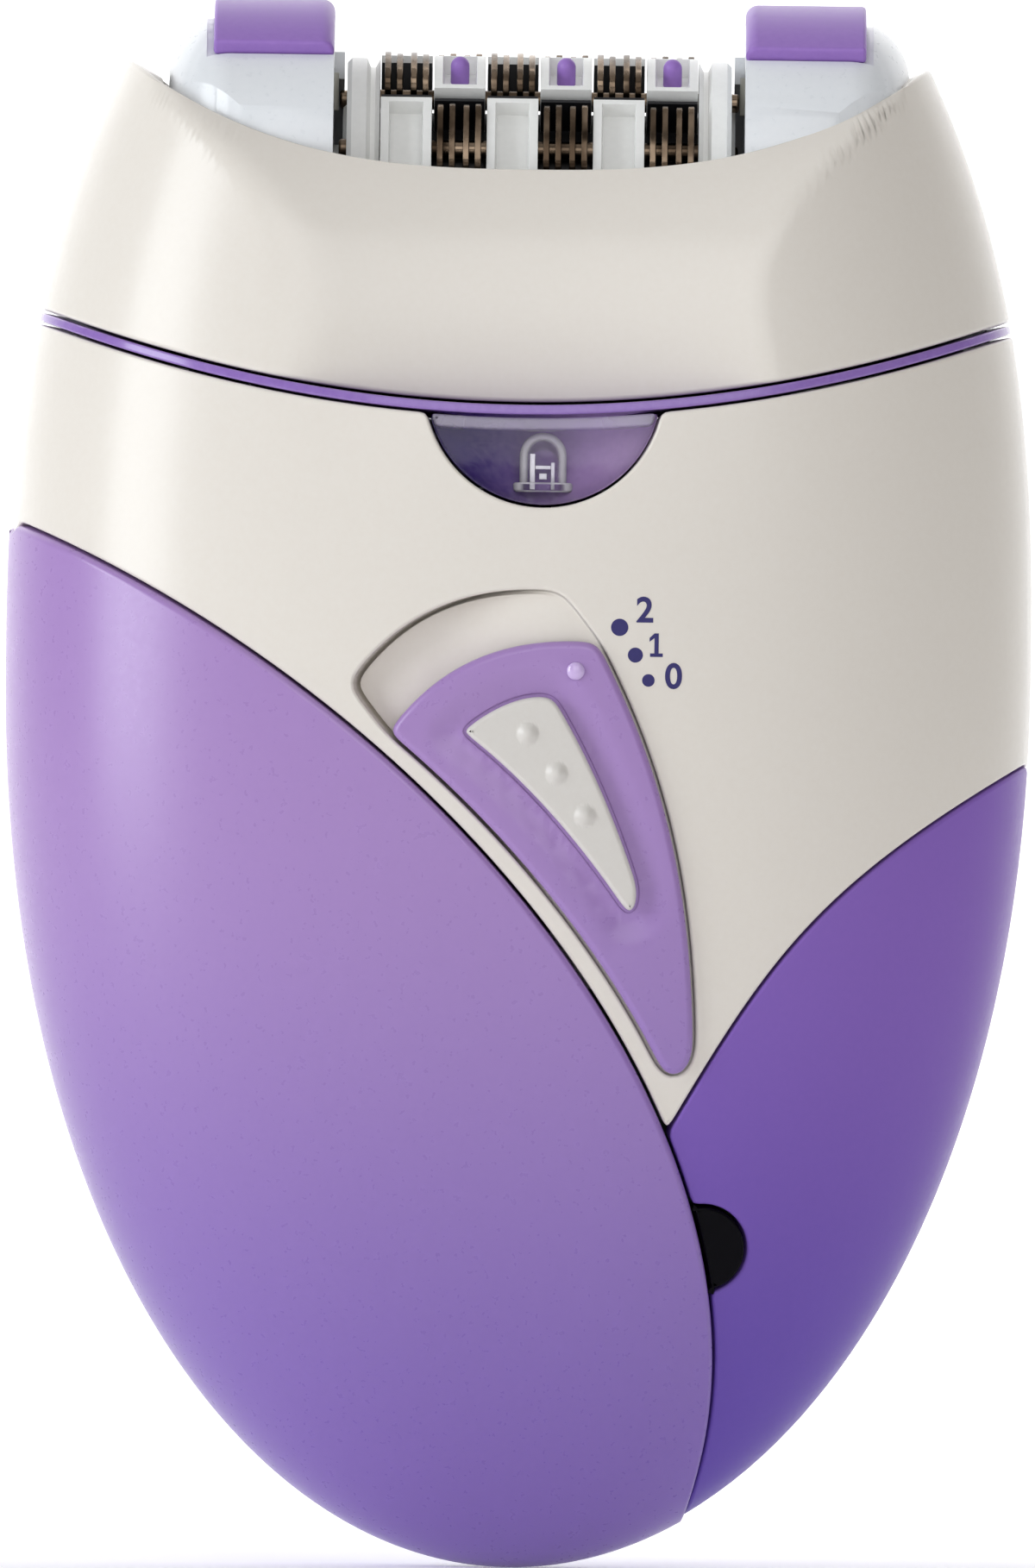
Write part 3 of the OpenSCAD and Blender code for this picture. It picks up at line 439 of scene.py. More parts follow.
def add_floor(solid, loop, row, n_row, bottom_row, inward, floor):
    """A pocket floor in a hole: the wall goes down to a groove, if there is one, and the floor
    rises inside it."""
    top, under, groove, width, step = floor
    outlines, rows, n_rows = [loop], [row], [n_row]
    away = -edge_frame(skin, loop)[2]
    if groove is not None:
        outlines += [shifted(skin, loop, away, width), shifted(skin, loop, away, width * GROOVE_RISE)]
        rows += [solid.add(groove(loop)), solid.add(groove(outlines[1]))]
        n_rows += [n_row, normal(groove, outlines[1])]
    points, tris = triangulate(skin, [outlines[-1]], patch_grid(skin, outlines[-1], step), step)
    edge = np.arange(len(loop))
    f_top, f_bottom = solid.add(top(points)), solid.add(under(points))
    n_floor = normal(top, points)
    solid.fill(tris, f_top, n_floor)
    solid.fill(tris, f_bottom, -normal(under, points), flip=True)
    rows.append(f_top[edge])
    n_rows.append(n_floor[edge] if groove is not None else n_row)
    for k in range(len(rows) - 1):
        solid.band(rows[k], rows[k + 1], n_rows[k], n_rows[k + 1])
    solid.band(bottom_row, f_bottom[edge], inward, inward, flip=True)


def surface_solid(name, material, point, outer, holes=(), under=None, thickness=1.8, radius=0.25,
                  gap=0.1, step=1.2, turns=4, grid=None, floors=None, hole_radius=None, hole_gap=None):
    """A closed shell piece: its outer face on the surface, rounded edges, walls and an inner face.
    gap and hole_gap draw its edges in, grid is a ready set of inner points, and floors gives, for a
    hole's number, the Floor in it: its surface, its underside, the bottom of the groove round it or
    None, the groove's width and the spacing of its points."""
    floors = floors or {}
    under = under or (lambda uv: point(uv) - thickness * normal(point, uv))
    loops = [outer] + list(holes)
    edges, flats, edge_frames, radii = [], [], [], []
    for number, loop in enumerate(loops):
        _, _, inward = edge_frame(point, loop)
        probe = shifted(point, loop, inward, PROBE)
        if inside(probe, loops).mean() < 0.5:
            loop = loop[::-1]
            _, _, inward = edge_frame(point, loop)
        edge_gap = gap if number == 0 or hole_gap is None else hole_gap
        radii.append(radius if number == 0 or hole_radius is None else hole_radius)
        loop = shifted(point, loop, inward, edge_gap)
        p, n, inward = edge_frame(point, loop)
        edges.append(loop)
        flats.append(shifted(point, loop, inward, radii[-1]))
        edge_frames.append((p, n, inward))
    if grid is None:
        grid = patch_grid(point, outer, step)
    points, tris = triangulate(point, flats, grid, step)
    solid = Solid()
    n_top = normal(point, points)
    top = solid.add(point(points))
    solid.fill(tris, top, n_top)
    inner_uv = points.copy()
    start = 0
    for loop in edges:
        inner_uv[start:start + len(loop)] = loop
        start += len(loop)
    bottom_points = under(inner_uv)
    n_bottom = -normal(under, inner_uv)
    bottom = solid.add(bottom_points)
    solid.fill(tris, bottom, n_bottom, flip=True)
    start = 0
    for number, loop in enumerate(edges):
        p, n, inward = edge_frames[number]
        index = np.arange(start, start + len(loop))
        row, n_row = top[index], n_top[index]
        radius = radii[number]
        for k in range(1, turns + 1):
            a = math.pi / 2 * k / turns
            new = solid.add(p + radius * (1 - math.sin(a)) * inward - radius * (1 - math.cos(a)) * n)
            n_new = math.cos(a) * n - math.sin(a) * inward
            solid.band(row, new, n_row, n_new)
            row, n_row = new, n_new
        if number in floors:
            add_floor(solid, loop, row, n_row, bottom[index], inward, floors[number])
        else:
            solid.band(row, bottom[index], n_row, n_row)
        start += len(loop)
    return solid.build(name, material)


# ---------- materials ----------

class Nodes:
    """A short way to write a material's node tree."""

    def __init__(self, name):
        self.material = bpy.data.materials.new(name)
        self.material.use_nodes = True
        self.tree = self.material.node_tree
        self.tree.nodes.clear()
        self.out = self.tree.nodes.new("ShaderNodeOutputMaterial")

    def add(self, kind, inputs=None, **settings):
        node = self.tree.nodes.new(kind)
        for key, value in settings.items():
            setattr(node, key, value)
        for key, value in (inputs or {}).items():
            if isinstance(value, bpy.types.NodeSocket):
                self.tree.links.new(value, node.inputs[key])
            else:
                node.inputs[key].default_value = value
        return node

    def noise(self, scale, detail=3.0, roughness=0.5):
        place = self.add("ShaderNodeTexCoord").outputs["Object"]
        return self.add("ShaderNodeTexNoise", {"Vector": place, "Scale": scale, "Detail": detail,
                                               "Roughness": roughness}).outputs["Fac"]

    def spread(self, value, low, high, from_low=0.0, from_high=1.0):
        return self.add("ShaderNodeMapRange", {"Value": value, "To Min": low, "To Max": high,
                                               "From Min": from_low, "From Max": from_high},
                        interpolation_type="SMOOTHERSTEP").outputs["Result"]

    def mix(self, fac, a, b):
        node = self.add("ShaderNodeMix", data_type="RGBA")
        for key, value in ((0, fac), (6, a), (7, b)):
            if isinstance(value, bpy.types.NodeSocket):
                self.tree.links.new(value, node.inputs[key])
            else:
                node.inputs[key].default_value = value
        return node.outputs[2]

    def bump(self, height, distance):
        return self.add("ShaderNodeBump", {"Height": height, "Distance": distance}).outputs["Normal"]

    def blend(self, fac, first, second):
        """Two shaders mixed: all of the first where fac is 0."""
        node = self.add("ShaderNodeMixShader", {0: fac, 1: first, 2: second})
        return node.outputs[0]

    def surface(self, shader):
        self.tree.links.new(shader, self.out.inputs["Surface"])
        return self.material

    def principled(self, **inputs):
        named = {key.replace("_", " "): value for key, value in inputs.items()}
        return self.surface(self.add("ShaderNodeBsdfPrincipled", named).outputs["BSDF"])


def srgb(r, g, b):
    """A linear colour from 0 to 255 display values."""
    def line(c):
        c /= 255
        return c / 12.92 if c <= 0.04045 else ((c + 0.055) / 1.055) ** 2.4
    return (line(r), line(g), line(b), 1.0)


CLOUD_SCALE = 2400.0
CLOUD_SWING = 0.04
GLAZE = 0.08
SKIN_DEEP = (0.001, 0.001, 0.001)


def plastic(name, light, shade, roughness=0.25, coat=0.0, grain=900.0, depth=0.004, along="Z",
            reach=None, scatter=0.0, ior=1.45):
    """Moulded plastic: faint clouds of colour, a finish that varies, and a fine orange-peel bump.
    light and shade are display colours. reach is the range in metres, along one axis of the part, over which
    painted shade turns into painted light; without reach the two colours only mix in faint clouds. depth the
    height of the bump in millimetres."""
    m = Nodes(name)
    light, shade = srgb(*light), srgb(*shade)
    clouds = m.noise(CLOUD_SCALE, 2.0)
    fine = m.noise(grain, 2.0)
    turn_over = clouds
    # With reach the colour is painted shade at one end of the axis and painted light at the other.
    if reach:
        place = m.add("ShaderNodeTexCoord").outputs["Object"]
        at = m.add("ShaderNodeSeparateXYZ", {"Vector": place}).outputs[along]
        rise = m.spread(at, 0.0, 1.0, *reach)
        swing = m.spread(clouds, -CLOUD_SWING, CLOUD_SWING)
        turn_over = m.add("ShaderNodeMath", {0: rise, 1: swing}, operation="ADD").outputs[0]
    inputs = dict(Base_Color=m.mix(turn_over, shade, light), Normal=m.bump(fine, depth * MM), IOR=ior,
                  Roughness=m.spread(clouds, roughness * 0.85, roughness * 1.15))
    if coat:
        inputs.update(Coat_Weight=coat, Coat_Roughness=GLAZE)
    if scatter:
        inputs.update(Subsurface_Weight=scatter, Subsurface_Radius=SKIN_DEEP, Subsurface_Scale=0.5)
    return m.principled(**inputs)


IVORY = plastic("ivory_pearl", (229, 223, 215), (226, 219, 210), roughness=0.24, depth=0.0015)
# Painted shade: the front purple turns darker and bluer towards the bottom and lighter towards the top, by
# height.
PURPLE_PAINTED_SHADE = plastic("purple_pearl", (163, 129, 190), (127, 98, 178), roughness=0.3, depth=0.0015, ior=1.6,
                 reach=(0.0, 0.06))
# Painted shade: the rear purple is its own deeper colour and also turns darker towards the bottom, by height.
PURPLE_REAR_PAINTED_SHADE = plastic("purple_pearl_deep", (135, 100, 186), (104, 80, 172), roughness=0.35, ior=1.25,
                      reach=(0.0, 0.05))
PAD_IVORY = plastic("pad_ivory", (216, 212, 207), (212, 207, 201), roughness=0.35, coat=0.2)
RING_PURPLE = plastic("ring_purple", (150, 118, 190), (135, 102, 178), roughness=0.2, coat=0.5)

LAVENDER = plastic("lavender_pearl", (214, 190, 235), (196, 168, 222), roughness=0.15, coat=1.0)
INK = plastic("printed_ink", (50, 44, 110), (42, 36, 98), roughness=0.35)
SMOKED = plastic("smoked_window", (10, 9, 14), (5, 4, 8), roughness=0.2, depth=0.001, ior=1.15)
# Painted light and shade: the dish is dark purple on its left and pale lilac on its right, by x.
BOWL_PAINTED_SHADE = plastic("bowl_purple_painted_shade", (236, 200, 255), (70, 50, 130), roughness=0.2, coat=0.8, along="X",
               reach=(-0.005, 0.0095))
WHITE = (1, 1, 1, 1)
# Painted light: the haze is shaded as if it faced the front lamps, whichever way the surface turns.
FRONT_LIT_HAZE_NORMAL = {0: 0.0, 1: -0.94, 2: 0.34}
EDGE_SHEEN_RANGE = (0.15, 0.45)
FLOW_DEPTH = 0.00002


def clear(name, tint, roughness=0.03, ior=1.45, milk=0.0, rim=0.0):
    """Thin clear plastic: what lies behind shows through, with faint flow lines in the gloss.
    milk is how cloudy it is seen straight on; rim adds a painted sheen at a grazing angle, a white haze that
    stands in for the edges' reflections. The haze is shaded with a fixed normal that faces the front lamps."""
    m = Nodes(name)
    flow = m.noise(260.0, 2.0)
    wavy = m.bump(flow, FLOW_DEPTH)
    tinted = m.mix(flow, tint, WHITE)
    outward = m.add("ShaderNodeCombineXYZ", FRONT_LIT_HAZE_NORMAL).outputs[0]
    facing = m.add("ShaderNodeLayerWeight", {"Blend": 0.5}).outputs["Facing"]
    through = m.add("ShaderNodeBsdfTransparent", {"Color": tinted}).outputs[0]
    haze_and_edge_sheen = m.add("ShaderNodeBsdfDiffuse", {"Color": tinted, "Normal": outward}).outputs[0]
    gloss = m.add("ShaderNodeBsdfGlossy", {"Color": WHITE, "Normal": wavy,
                                           "Roughness": m.spread(flow, roughness, roughness * 2.5)})
    mirror = m.add("ShaderNodeFresnel", {"IOR": ior, "Normal": wavy}).outputs[0]
    # rim mixes in the haze at grazing angles: a painted sheen on the edges.
    body = m.blend(m.spread(facing, milk, milk + rim, *EDGE_SHEEN_RANGE), through, haze_and_edge_sheen)
    return m.surface(m.blend(mirror, body, gloss.outputs[0]))


def metal(name, light, shade, roughness=0.25, stretch=(1, 1, 1), grain=700.0):
    """Metal with fine lines drawn out along one direction and a little tarnish."""
    m = Nodes(name)
    place = m.add("ShaderNodeTexCoord").outputs["Object"]
    pulled = m.add("ShaderNodeVectorMath", {0: place, 1: stretch}, operation="MULTIPLY").outputs[0]
    lines = m.add("ShaderNodeTexNoise", {"Vector": pulled, "Scale": grain, "Detail": 4.0}).outputs["Fac"]
    tarnish = m.noise(300.0, 4.0)
    finish = m.spread(lines, roughness * 0.6, roughness * 1.5, 0.3, 0.7)
    colour = m.mix(m.spread(tarnish, 0, 1, 0.35, 0.65), shade, light)
    return m.principled(Base_Color=colour, Metallic=1.0, Roughness=finish, Normal=m.bump(lines, 0.00001))


CLEAR = clear("clear_cover", (0.98, 0.97, 1.0, 1), ior=1.3)
# The lamp lens gets a strong painted edge sheen (rim 0.95).
LENS = clear("lamp_lens", (1.0, 0.99, 1.0, 1), 0.06, 1.2, milk=0.04, rim=0.95)
VIOLET_CLEAR = clear("violet_clear", (0.75, 0.62, 0.92, 1), 0.15, 1.7, milk=0.22)
STEEL_BRIGHT = metal("bright_steel", (0.85, 0.85, 0.87, 1), (0.7, 0.7, 0.72, 1), 0.2)
LEAD_FRAME = metal("lead_frame", (0.95, 0.95, 0.96, 1), (0.85, 0.85, 0.88, 1), 0.5)
TWEEZER = metal("tweezer_steel", srgb(138, 120, 102), srgb(74, 61, 49), 0.22, stretch=(1, 1, 0.08))
BRASS = metal("brass", (0.78, 0.58, 0.28, 1), (0.6, 0.42, 0.18, 1), 0.3)

CAP_WHITE = plastic("cap_white", (230, 232, 235), (224, 227, 231), roughness=0.3, coat=0.3)
DRUM_WHITE = plastic("drum_white", (242, 242, 240), (234, 234, 232), roughness=0.35, scatter=0.1)
GEAR_WHITE = plastic("gear_white", (240, 238, 228), (230, 228, 216), roughness=0.4)
RUBBER = plastic("purple_rubber", (156, 118, 196), (144, 106, 188), roughness=0.38, grain=1500.0,
                 depth=0.006)
GREY = plastic("grey_plastic", (206, 208, 210), (192, 194, 197), roughness=0.45, depth=0.008)
BLACK = plastic("black_plastic", (30, 30, 34), (20, 20, 24), roughness=0.4, depth=0.008)
CHIP = plastic("lamp_chip", (240, 236, 200), (225, 220, 180), roughness=0.3)
BOARD = plastic("board_green", (20, 92, 60), (12, 74, 48), roughness=0.3)
SLEEVE = plastic("capacitor_sleeve", (40, 48, 96), (28, 34, 78), roughness=0.25)

# ---------- plain meshes ----------

def lathe(name, material, profile, segments=64, place=None):
    """A closed solid of revolution from a closed outline of (radius, height) points about Z."""
    profile = np.array(profile, float)
    a = np.radians(360.0 * np.arange(segments) / segments)
    points = np.stack([np.outer(np.cos(a), profile[:, 0]), np.outer(np.sin(a), profile[:, 0]),
                       np.tile(profile[:, 1], (segments, 1))], -1).reshape(-1, 3)
    m = len(profile)
    faces = []
    for i in range(segments):
        j = (i + 1) % segments
        for k in range(m):
            q = (k + 1) % m
            if max(profile[k, 0], profile[q, 0]) > ON_AXIS:
                faces.append([i * m + k, j * m + k, j * m + q, i * m + q])
    return mesh_object(name, material, points, faces, place)


def mesh_object(name, material, points, faces, place=None, weld=True):
    """A mesh from points in millimetres, with smooth shading up to an angle. weld joins shared points."""
    mesh = bpy.data.meshes.new(name)
    points = np.asarray(points, float)
    if place is not None:
        points = np.array([place @ Vector(p) for p in points])
    mesh.from_pydata([tuple(p) for p in points * MM], [], faces)
    bm = bmesh.new()
    bm.from_mesh(mesh)
    if weld:
        bmesh.ops.remove_doubles(bm, verts=bm.verts, dist=1e-6)
        bmesh.ops.dissolve_degenerate(bm, edges=bm.edges, dist=1e-7)
    bmesh.ops.recalc_face_normals(bm, faces=bm.faces)
    bm.to_mesh(mesh)
    bm.free()
    mesh.shade_smooth()
    mesh.set_sharp_from_angle(angle=math.radians(SHARP_ANGLE))
    return linked(name, mesh, material)


SHARP_ANGLE = 40.0
ON_AXIS = 1e-9


def quarter(cx, cy, r, start, end, n=6):
    """Points of an arc in a lathe outline, angles in degrees."""
    return [(cx + r * math.cos(math.radians(start + (end - start) * k / n)),
             cy + r * math.sin(math.radians(start + (end - start) * k / n))) for k in range(n + 1)]

# ---------- body shells ----------

seam_left, seam_right, seam_back = [within(bezier(c)) for c in (SEAM_LEFT, SEAM_RIGHT, SEAM_BACK)]
TIP_Z = SEAM_RIGHT[0][1]
STEP = 0.45
FINE_STEP = 0.25
SHELL_EDGE = 0.22


def ring_line(drop):
    return level_line(lambda x: ring_height(x) - drop)


def notched_ring(drop):
    """The ring line with the light pocket's half round taken out below it."""
    line = ring_line(drop)
    p = skin(line)
    xz = p[:, [0, 2]]
    cut = np.where(~outside(xz, LIGHT_CENTRE, LIGHT_RADIUS) & (p[:, 1] <= 0))[0]
    begin, end = xz[cut[0] - 1], xz[(cut[-1] + 1) % len(line)]
    pocket = around_corner(LIGHT_CENTRE, LIGHT_RADIUS, begin, end, clockwise=begin[0] > end[0])
    return np.vstack([line[:cut[0]], front(pocket), line[cut[-1] + 1:]])


def chain(*curves):
    """One closed x, z outline from curves that each start where the last one ends."""
    return np.vstack([c[:-1] for c in curves])


def straight(a, b, n=60):
    t = np.linspace(0, 1, n + 1)[:, None]
    return np.array(a) * (1 - t) + np.array(b) * t


def box_loop(corners, n):
    """A closed outline through corners, with n steps along each side."""
    sides = [straight(corners[i], corners[(i + 1) % len(corners)], n) for i in range(len(corners))]
    return chain(*sides)


slider_curves = [bezier(c) for c in (SLIDER_LEFT, SLIDER_TOP, SLIDER_RIGHT, SLIDER_TIP)]
slider_outline = chain(*slider_curves)
left_curve, top_curve, right_curve, tip_curve = slider_curves
recess_outline = chain(left_curve, straight(top_curve[0], top_curve[0] + SLIDE_STEP),
                       top_curve + SLIDE_STEP, straight(top_curve[-1] + SLIDE_STEP, top_curve[-1]),
                       right_curve, tip_curve)
pad_outline = chain(*[bezier(c) for c in (PAD_TOP, PAD_RIGHT, PAD_TIP, PAD_LEFT)])

RECESS_DEPTH = 1.6
RECESS_FADE = 1.25
RECESS_SPAN = (-5.5, 3.0)
RECESS_FLOOR = 1.9
GROOVE_DEPTH = 1.1
GROOVE_SPAN = (-4.0, 3.0)
GROOVE_WIDTH = 0.2


def smooth_step(t):
    t = np.clip(t, 0, 1)
    return t * t * (3 - 2 * t)


def across(p, span):
    """From 0 to 1 over a range of x."""
    return smooth_step((p[..., 0] - span[0]) / (span[1] - span[0]))


def recess_depth(p):
    """How deep the slider's recess is at a point: it fades out to the right."""
    return RECESS_DEPTH - RECESS_FADE * across(p, RECESS_SPAN)


def groove_depth(p):
    """The groove round the recess floor, deep on the left and gone on the right."""
    return recess_depth(p) + GROOVE_DEPTH * (1 - across(p, GROOVE_SPAN))


def sunk(depth):
    return lifted(skin, lambda p: -depth(p))


def silhouette(uv, side):
    """The line under the body where front and back covers meet, from the tip as far out as uv."""
    arc = np.linspace(0, np.hypot(*uv), 500)
    return np.stack([side * arc, arc * 0], -1)


left_uv, right_uv, back_uv = front(seam_left), front(seam_right), back(seam_back)
left_above = front(seam_left[seam_left[:, 1] > TIP_Z])
left_below = seam_left[seam_left[:, 1] < TIP_Z]

upper_outer = rounded_loop(np.vstack([left_above, right_uv, back_uv[::-1]]), skin, STEP, 2)
upper_top = rounded_loop(notched_ring(RING_THICKNESS), skin, STEP, 1)
recess_loop = rounded_loop(front(recess_outline), skin, STEP, 5)
BIG_GRID = whole_grid(1.25)
recess_floor = Floor(sunk(recess_depth), sunk(lambda p: recess_depth(p) + RECESS_FLOOR),
                     sunk(groove_depth), GROOVE_WIDTH, step=0.6)
settle(surface_solid("Upper_shell", IVORY, skin, upper_outer, [upper_top, recess_loop],
                     radius=SHELL_EDGE, grid=BIG_GRID, floors={2: recess_floor}), "housing", "upper_shell")

front_edge = np.vstack([left_uv, silhouette(left_uv[-1], 1)[::-1], silhouette(left_uv[0], -1)])
front_outer = rounded_loop(front_edge, skin, STEP, 1)
COVER_RISE = 0.3
settle(surface_solid("Front_cover", PURPLE_PAINTED_SHADE, lifted(skin, COVER_RISE), front_outer, radius=0.45,
                     grid=BIG_GRID, thickness=2.1), "housing", "front_cover")

window_hits = np.where(~outside(left_below, WINDOW_CENTRE, WINDOW_RADIUS))[0]
window_first, window_last = window_hits[0] - 1, window_hits[-1] + 1
window_arc = around_corner(WINDOW_CENTRE, WINDOW_RADIUS, left_below[window_first], left_below[window_last],
                           clockwise=True)
right_side_edge = np.vstack([left_below[:window_first], window_arc, left_below[window_last:]])
rear_edge = np.vstack([front(right_side_edge), silhouette(left_uv[-1], 1)[::-1],
                       silhouette(back_uv[0], -1), back_uv, right_uv[::-1]])
rear_outer = rounded_loop(rear_edge, skin, STEP, 1)
INLET_TURN = np.linspace(0, 2 * math.pi, 64, endpoint=False)
inlet_loop = uv_below(INLET_HOLE * np.cos(INLET_TURN), INLET_Y + INLET_HOLE * np.sin(INLET_TURN))
plate_low, plate_high = [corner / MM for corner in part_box("label_plate")]
LABEL_GAP = 0.12
x1, x2 = plate_low.x - LABEL_GAP, plate_high.x + LABEL_GAP
z1, z2 = plate_low.z - LABEL_GAP, plate_high.z + LABEL_GAP
label_edge = box_loop([(x1, z1), (x2, z1), (x2, z2), (x1, z2)], 60)
label_loop = rounded_loop(back(label_edge), skin, 0.35, 1)
SCREW_HOLE = 2.35
SCREW_SINK = 0.92
SCREW_FLOOR = 1.2
screw_loops = [disc_loop(x, z, SCREW_HOLE, 1, 40) for x, z in SCREW_SPOTS]


def behind(y):
    """A flat pocket floor at depth y in the back."""
    def floor(uv):
        p = skin(uv)
        return np.stack([p[..., 0], 0 * p[..., 0] + y, p[..., 2]], -1)
    return floor


rear_floors = {2: Floor(behind(plate_low.y - 0.05), behind(plate_low.y - 1.4), step=1.5)}
for number in (3, 4, 5):
    rear_floors[number] = Floor(lifted(skin, -SCREW_SINK), lifted(skin, -SCREW_SINK - SCREW_FLOOR))
settle(surface_solid("Rear_cover", PURPLE_REAR_PAINTED_SHADE, skin, rear_outer, [inlet_loop, label_loop] + screw_loops,
                     radius=SHELL_EDGE, grid=BIG_GRID, hole_radius=0.18, hole_gap=0.0,
                     floors=rear_floors), "housing", "rear_cover")

ring_low = rounded_loop(ring_line(RING_THICKNESS), skin, STEP, 0)
ring_high = rounded_loop(ring_line(0), skin, STEP, 0)
settle(surface_solid("Deck_ring", RING_PURPLE, skin, ring_low, [ring_high], radius=0.15, gap=0.07,
                     thickness=4.2, grid=whole_grid(0.8)), "housing", "deck_ring")

GEAR_OPENING = [(-21.5, -8.5), (-12.0, -8.5), (-12.0, 8.5), (-21.5, 8.5)]
LEG_X = 24.4
LEG_HALF = (2.1, 4.1)


def deck_point(drop):
    """The deck, an arched plate level with the ring: here u, v are x, y."""
    def point(uv):
        return np.stack([uv[..., 0], uv[..., 1], ring_height(uv[..., 0]) - drop], -1)
    return point


def leg_opening(side):
    x, half_x, half_y = side * LEG_X, *LEG_HALF
    return [(x - half_x, -half_y), (x + half_x, -half_y), (x + half_x, half_y), (x - half_x, half_y)]


deck_edge = skin(ring_line(0))[:, :2]
deck_edge = deck_edge * (1 - DECK_INSET / np.hypot(*deck_edge.T))[:, None]
deck_outer = rounded_loop(deck_edge, deck_point(0), STEP, 0)
deck_holes = [rounded_loop(box_loop(c, 24), deck_point(0), STEP, 1)
              for c in (GEAR_OPENING, leg_opening(-1), leg_opening(1))]
settle(surface_solid("Deck_plate", RING_PURPLE, deck_point(0.05), deck_outer, deck_holes, radius=0.08,
                     gap=0.0, hole_gap=0.0, hole_radius=0.15, under=deck_point(RING_THICKNESS)),
       "housing", "deck_ring")

HEAD_GAP = 0.02
head_low = rounded_loop(ring_line(-HEAD_GAP), skin, STEP, 0)
head_lip = rounded_loop(level_line(lip_height), skin, STEP, 0)
settle(surface_solid("Head_shell", IVORY, head_skin, head_low, [head_lip], radius=0.3,
                     grid=whole_grid(0.5), thickness=1.5), "head", "head_shell")

# ---------- switch ----------

SLIDER_LOW = 0.12
SLIDER_CROWN = 0.42
SLIDER_SLOPE = 2.2
PAD_POINTS = pad_outline[::12]


def slider_lift(p):
    """The slider's height above the body: it dips towards the thumb pad."""
    apart = p[..., None, [0, 2]] - PAD_POINTS
    near = np.hypot(apart[..., 0], apart[..., 1]).min(-1)
    return SLIDER_LOW + SLIDER_CROWN * smooth_step(near / SLIDER_SLOPE)


slider_loop = rounded_loop(front(slider_outline), skin, 0.35, 6)
pad_loop = rounded_loop(front(pad_outline), skin, FINE_STEP, 9)
pad_seat = Floor(sunk(lambda p: 0 * p[..., 0]), sunk(lambda p: recess_depth(p) - 0.42), step=0.8)
settle(surface_solid("Switch_slider", PURPLE_PAINTED_SHADE, lifted(skin, slider_lift), slider_loop, [pad_loop],
                     radius=0.5, gap=0.12, step=0.6, under=sunk(lambda p: recess_depth(p) - 0.4),
                     hole_radius=0.12, hole_gap=0.0, floors={1: pad_seat}), "switch", "switch_slider")

PAD_HEIGHT = 1.05
BUMPS = ((0.5, 53.45), (2.35, 50.97), (4.16, 48.3))
BUMP_RADIUS = 0.75
BUMP_HEIGHT = 0.34


def pad_lift(p):
    """The thumb pad's height above the body, with three round bumps."""
    lift = PAD_HEIGHT + 0 * p[..., 0]
    for x, z in BUMPS:
        far = np.hypot(p[..., 0] - x, p[..., 2] - z) / BUMP_RADIUS
        lift = lift + BUMP_HEIGHT * np.maximum(1 - far ** 2, 0) ** 1.5
    return lift


settle(surface_solid("Switch_pad", PAD_IVORY, lifted(skin, pad_lift), pad_loop, radius=0.32, gap=0.2,
                     step=0.16, under=lifted(skin, 0.02)), "switch", "switch_pad")


def dome_lift(x, z, radius, low, high):
    return lambda p: low + (high - low) * np.sqrt(
        np.clip(1 - ((p[..., 0] - x) ** 2 + (p[..., 2] - z) ** 2) / radius ** 2, 0, 1))


MARK = (3.48, 57.43)
settle(surface_solid("Slider_mark", LAVENDER, lifted(skin, dome_lift(*MARK, 0.62, 0.45, 0.85)),
                     disc_loop(*MARK, 0.58), radius=0.04, gap=0.0, step=0.09, under=lifted(skin, 0.3)),
       "switch", "switch_slider")

DOTS = ((8.13, 56.9, 0.4), (7.28, 58.5, 0.48), (6.26, 60.25, 0.55))
INK_HEIGHT = 0.02
INK_UNDER = 0.05
for number, (x, z, radius) in enumerate(DOTS):
    settle(surface_solid(f"Print_dot_{number}", INK, lifted(skin, 0.015), disc_loop(x, z, radius),
                         radius=0.01, gap=0.0, step=0.2, under=lifted(skin, -INK_UNDER)),
           "housing", "upper_shell")


def printed_one(x, z, height):
    """The figure 1 with its flag and foot."""
    stem, foot, flag = 0.09 * height, 0.27 * height, 0.3 * height
    half, thick = height / 2, 0.15 * height
    outline = [(-foot, -half), (foot, -half), (foot, -half + thick), (stem, -half + thick), (stem, half),
               (-stem, half), (-flag, half - 0.2 * height), (-flag, half - 0.36 * height),
               (-stem, half - 0.2 * height), (-stem, -half + thick), (-foot, -half + thick)]
    flat = np.array([(x + a, z + b) for a, b in outline])
    loop = front(flat[::-1])
    points = np.vstack([lifted(skin, INK_HEIGHT)(loop), lifted(skin, -INK_UNDER)(loop)])
    n = len(loop)
    faces = [tuple(range(n)), tuple(range(2 * n - 1, n - 1, -1))]
    faces += [(i, i + n, (i + 1) % n + n, (i + 1) % n) for i in range(n)]
    settle(mesh_object("Print_figure_1", INK, points, faces), "housing", "upper_shell")


CAP_HEIGHT = 0.72


def printed_digit(text, x, z, height):
    """A flat printed figure wrapped onto the body."""
    data = bpy.data.curves.new("Print_" + text, "FONT")
    data.body = text
    data.size = height / CAP_HEIGHT
    data.align_x, data.align_y = "CENTER", "CENTER"
    data.offset = 0.03 * height
    data.resolution_u = 6
    holder = bpy.data.objects.new("Print_" + text, data)
    bpy.context.scene.collection.objects.link(holder)
    bpy.context.view_layer.update()
    mesh = bpy.data.meshes.new_from_object(holder)
    bpy.data.objects.remove(holder)
    flat = np.array([v.co[:2] for v in mesh.vertices])
    middle = (flat.min(0) + flat.max(0)) / 2
    uv = uv_side(x + flat[:, 0] - middle[0], z + flat[:, 1] - middle[1], -1)
    for v, p in zip(mesh.vertices, lifted(skin, INK_HEIGHT)(uv)):
        v.co = p * MM
    mesh.materials.clear()
    settle(linked("Print_figure_" + text, mesh, INK), "housing", "upper_shell")


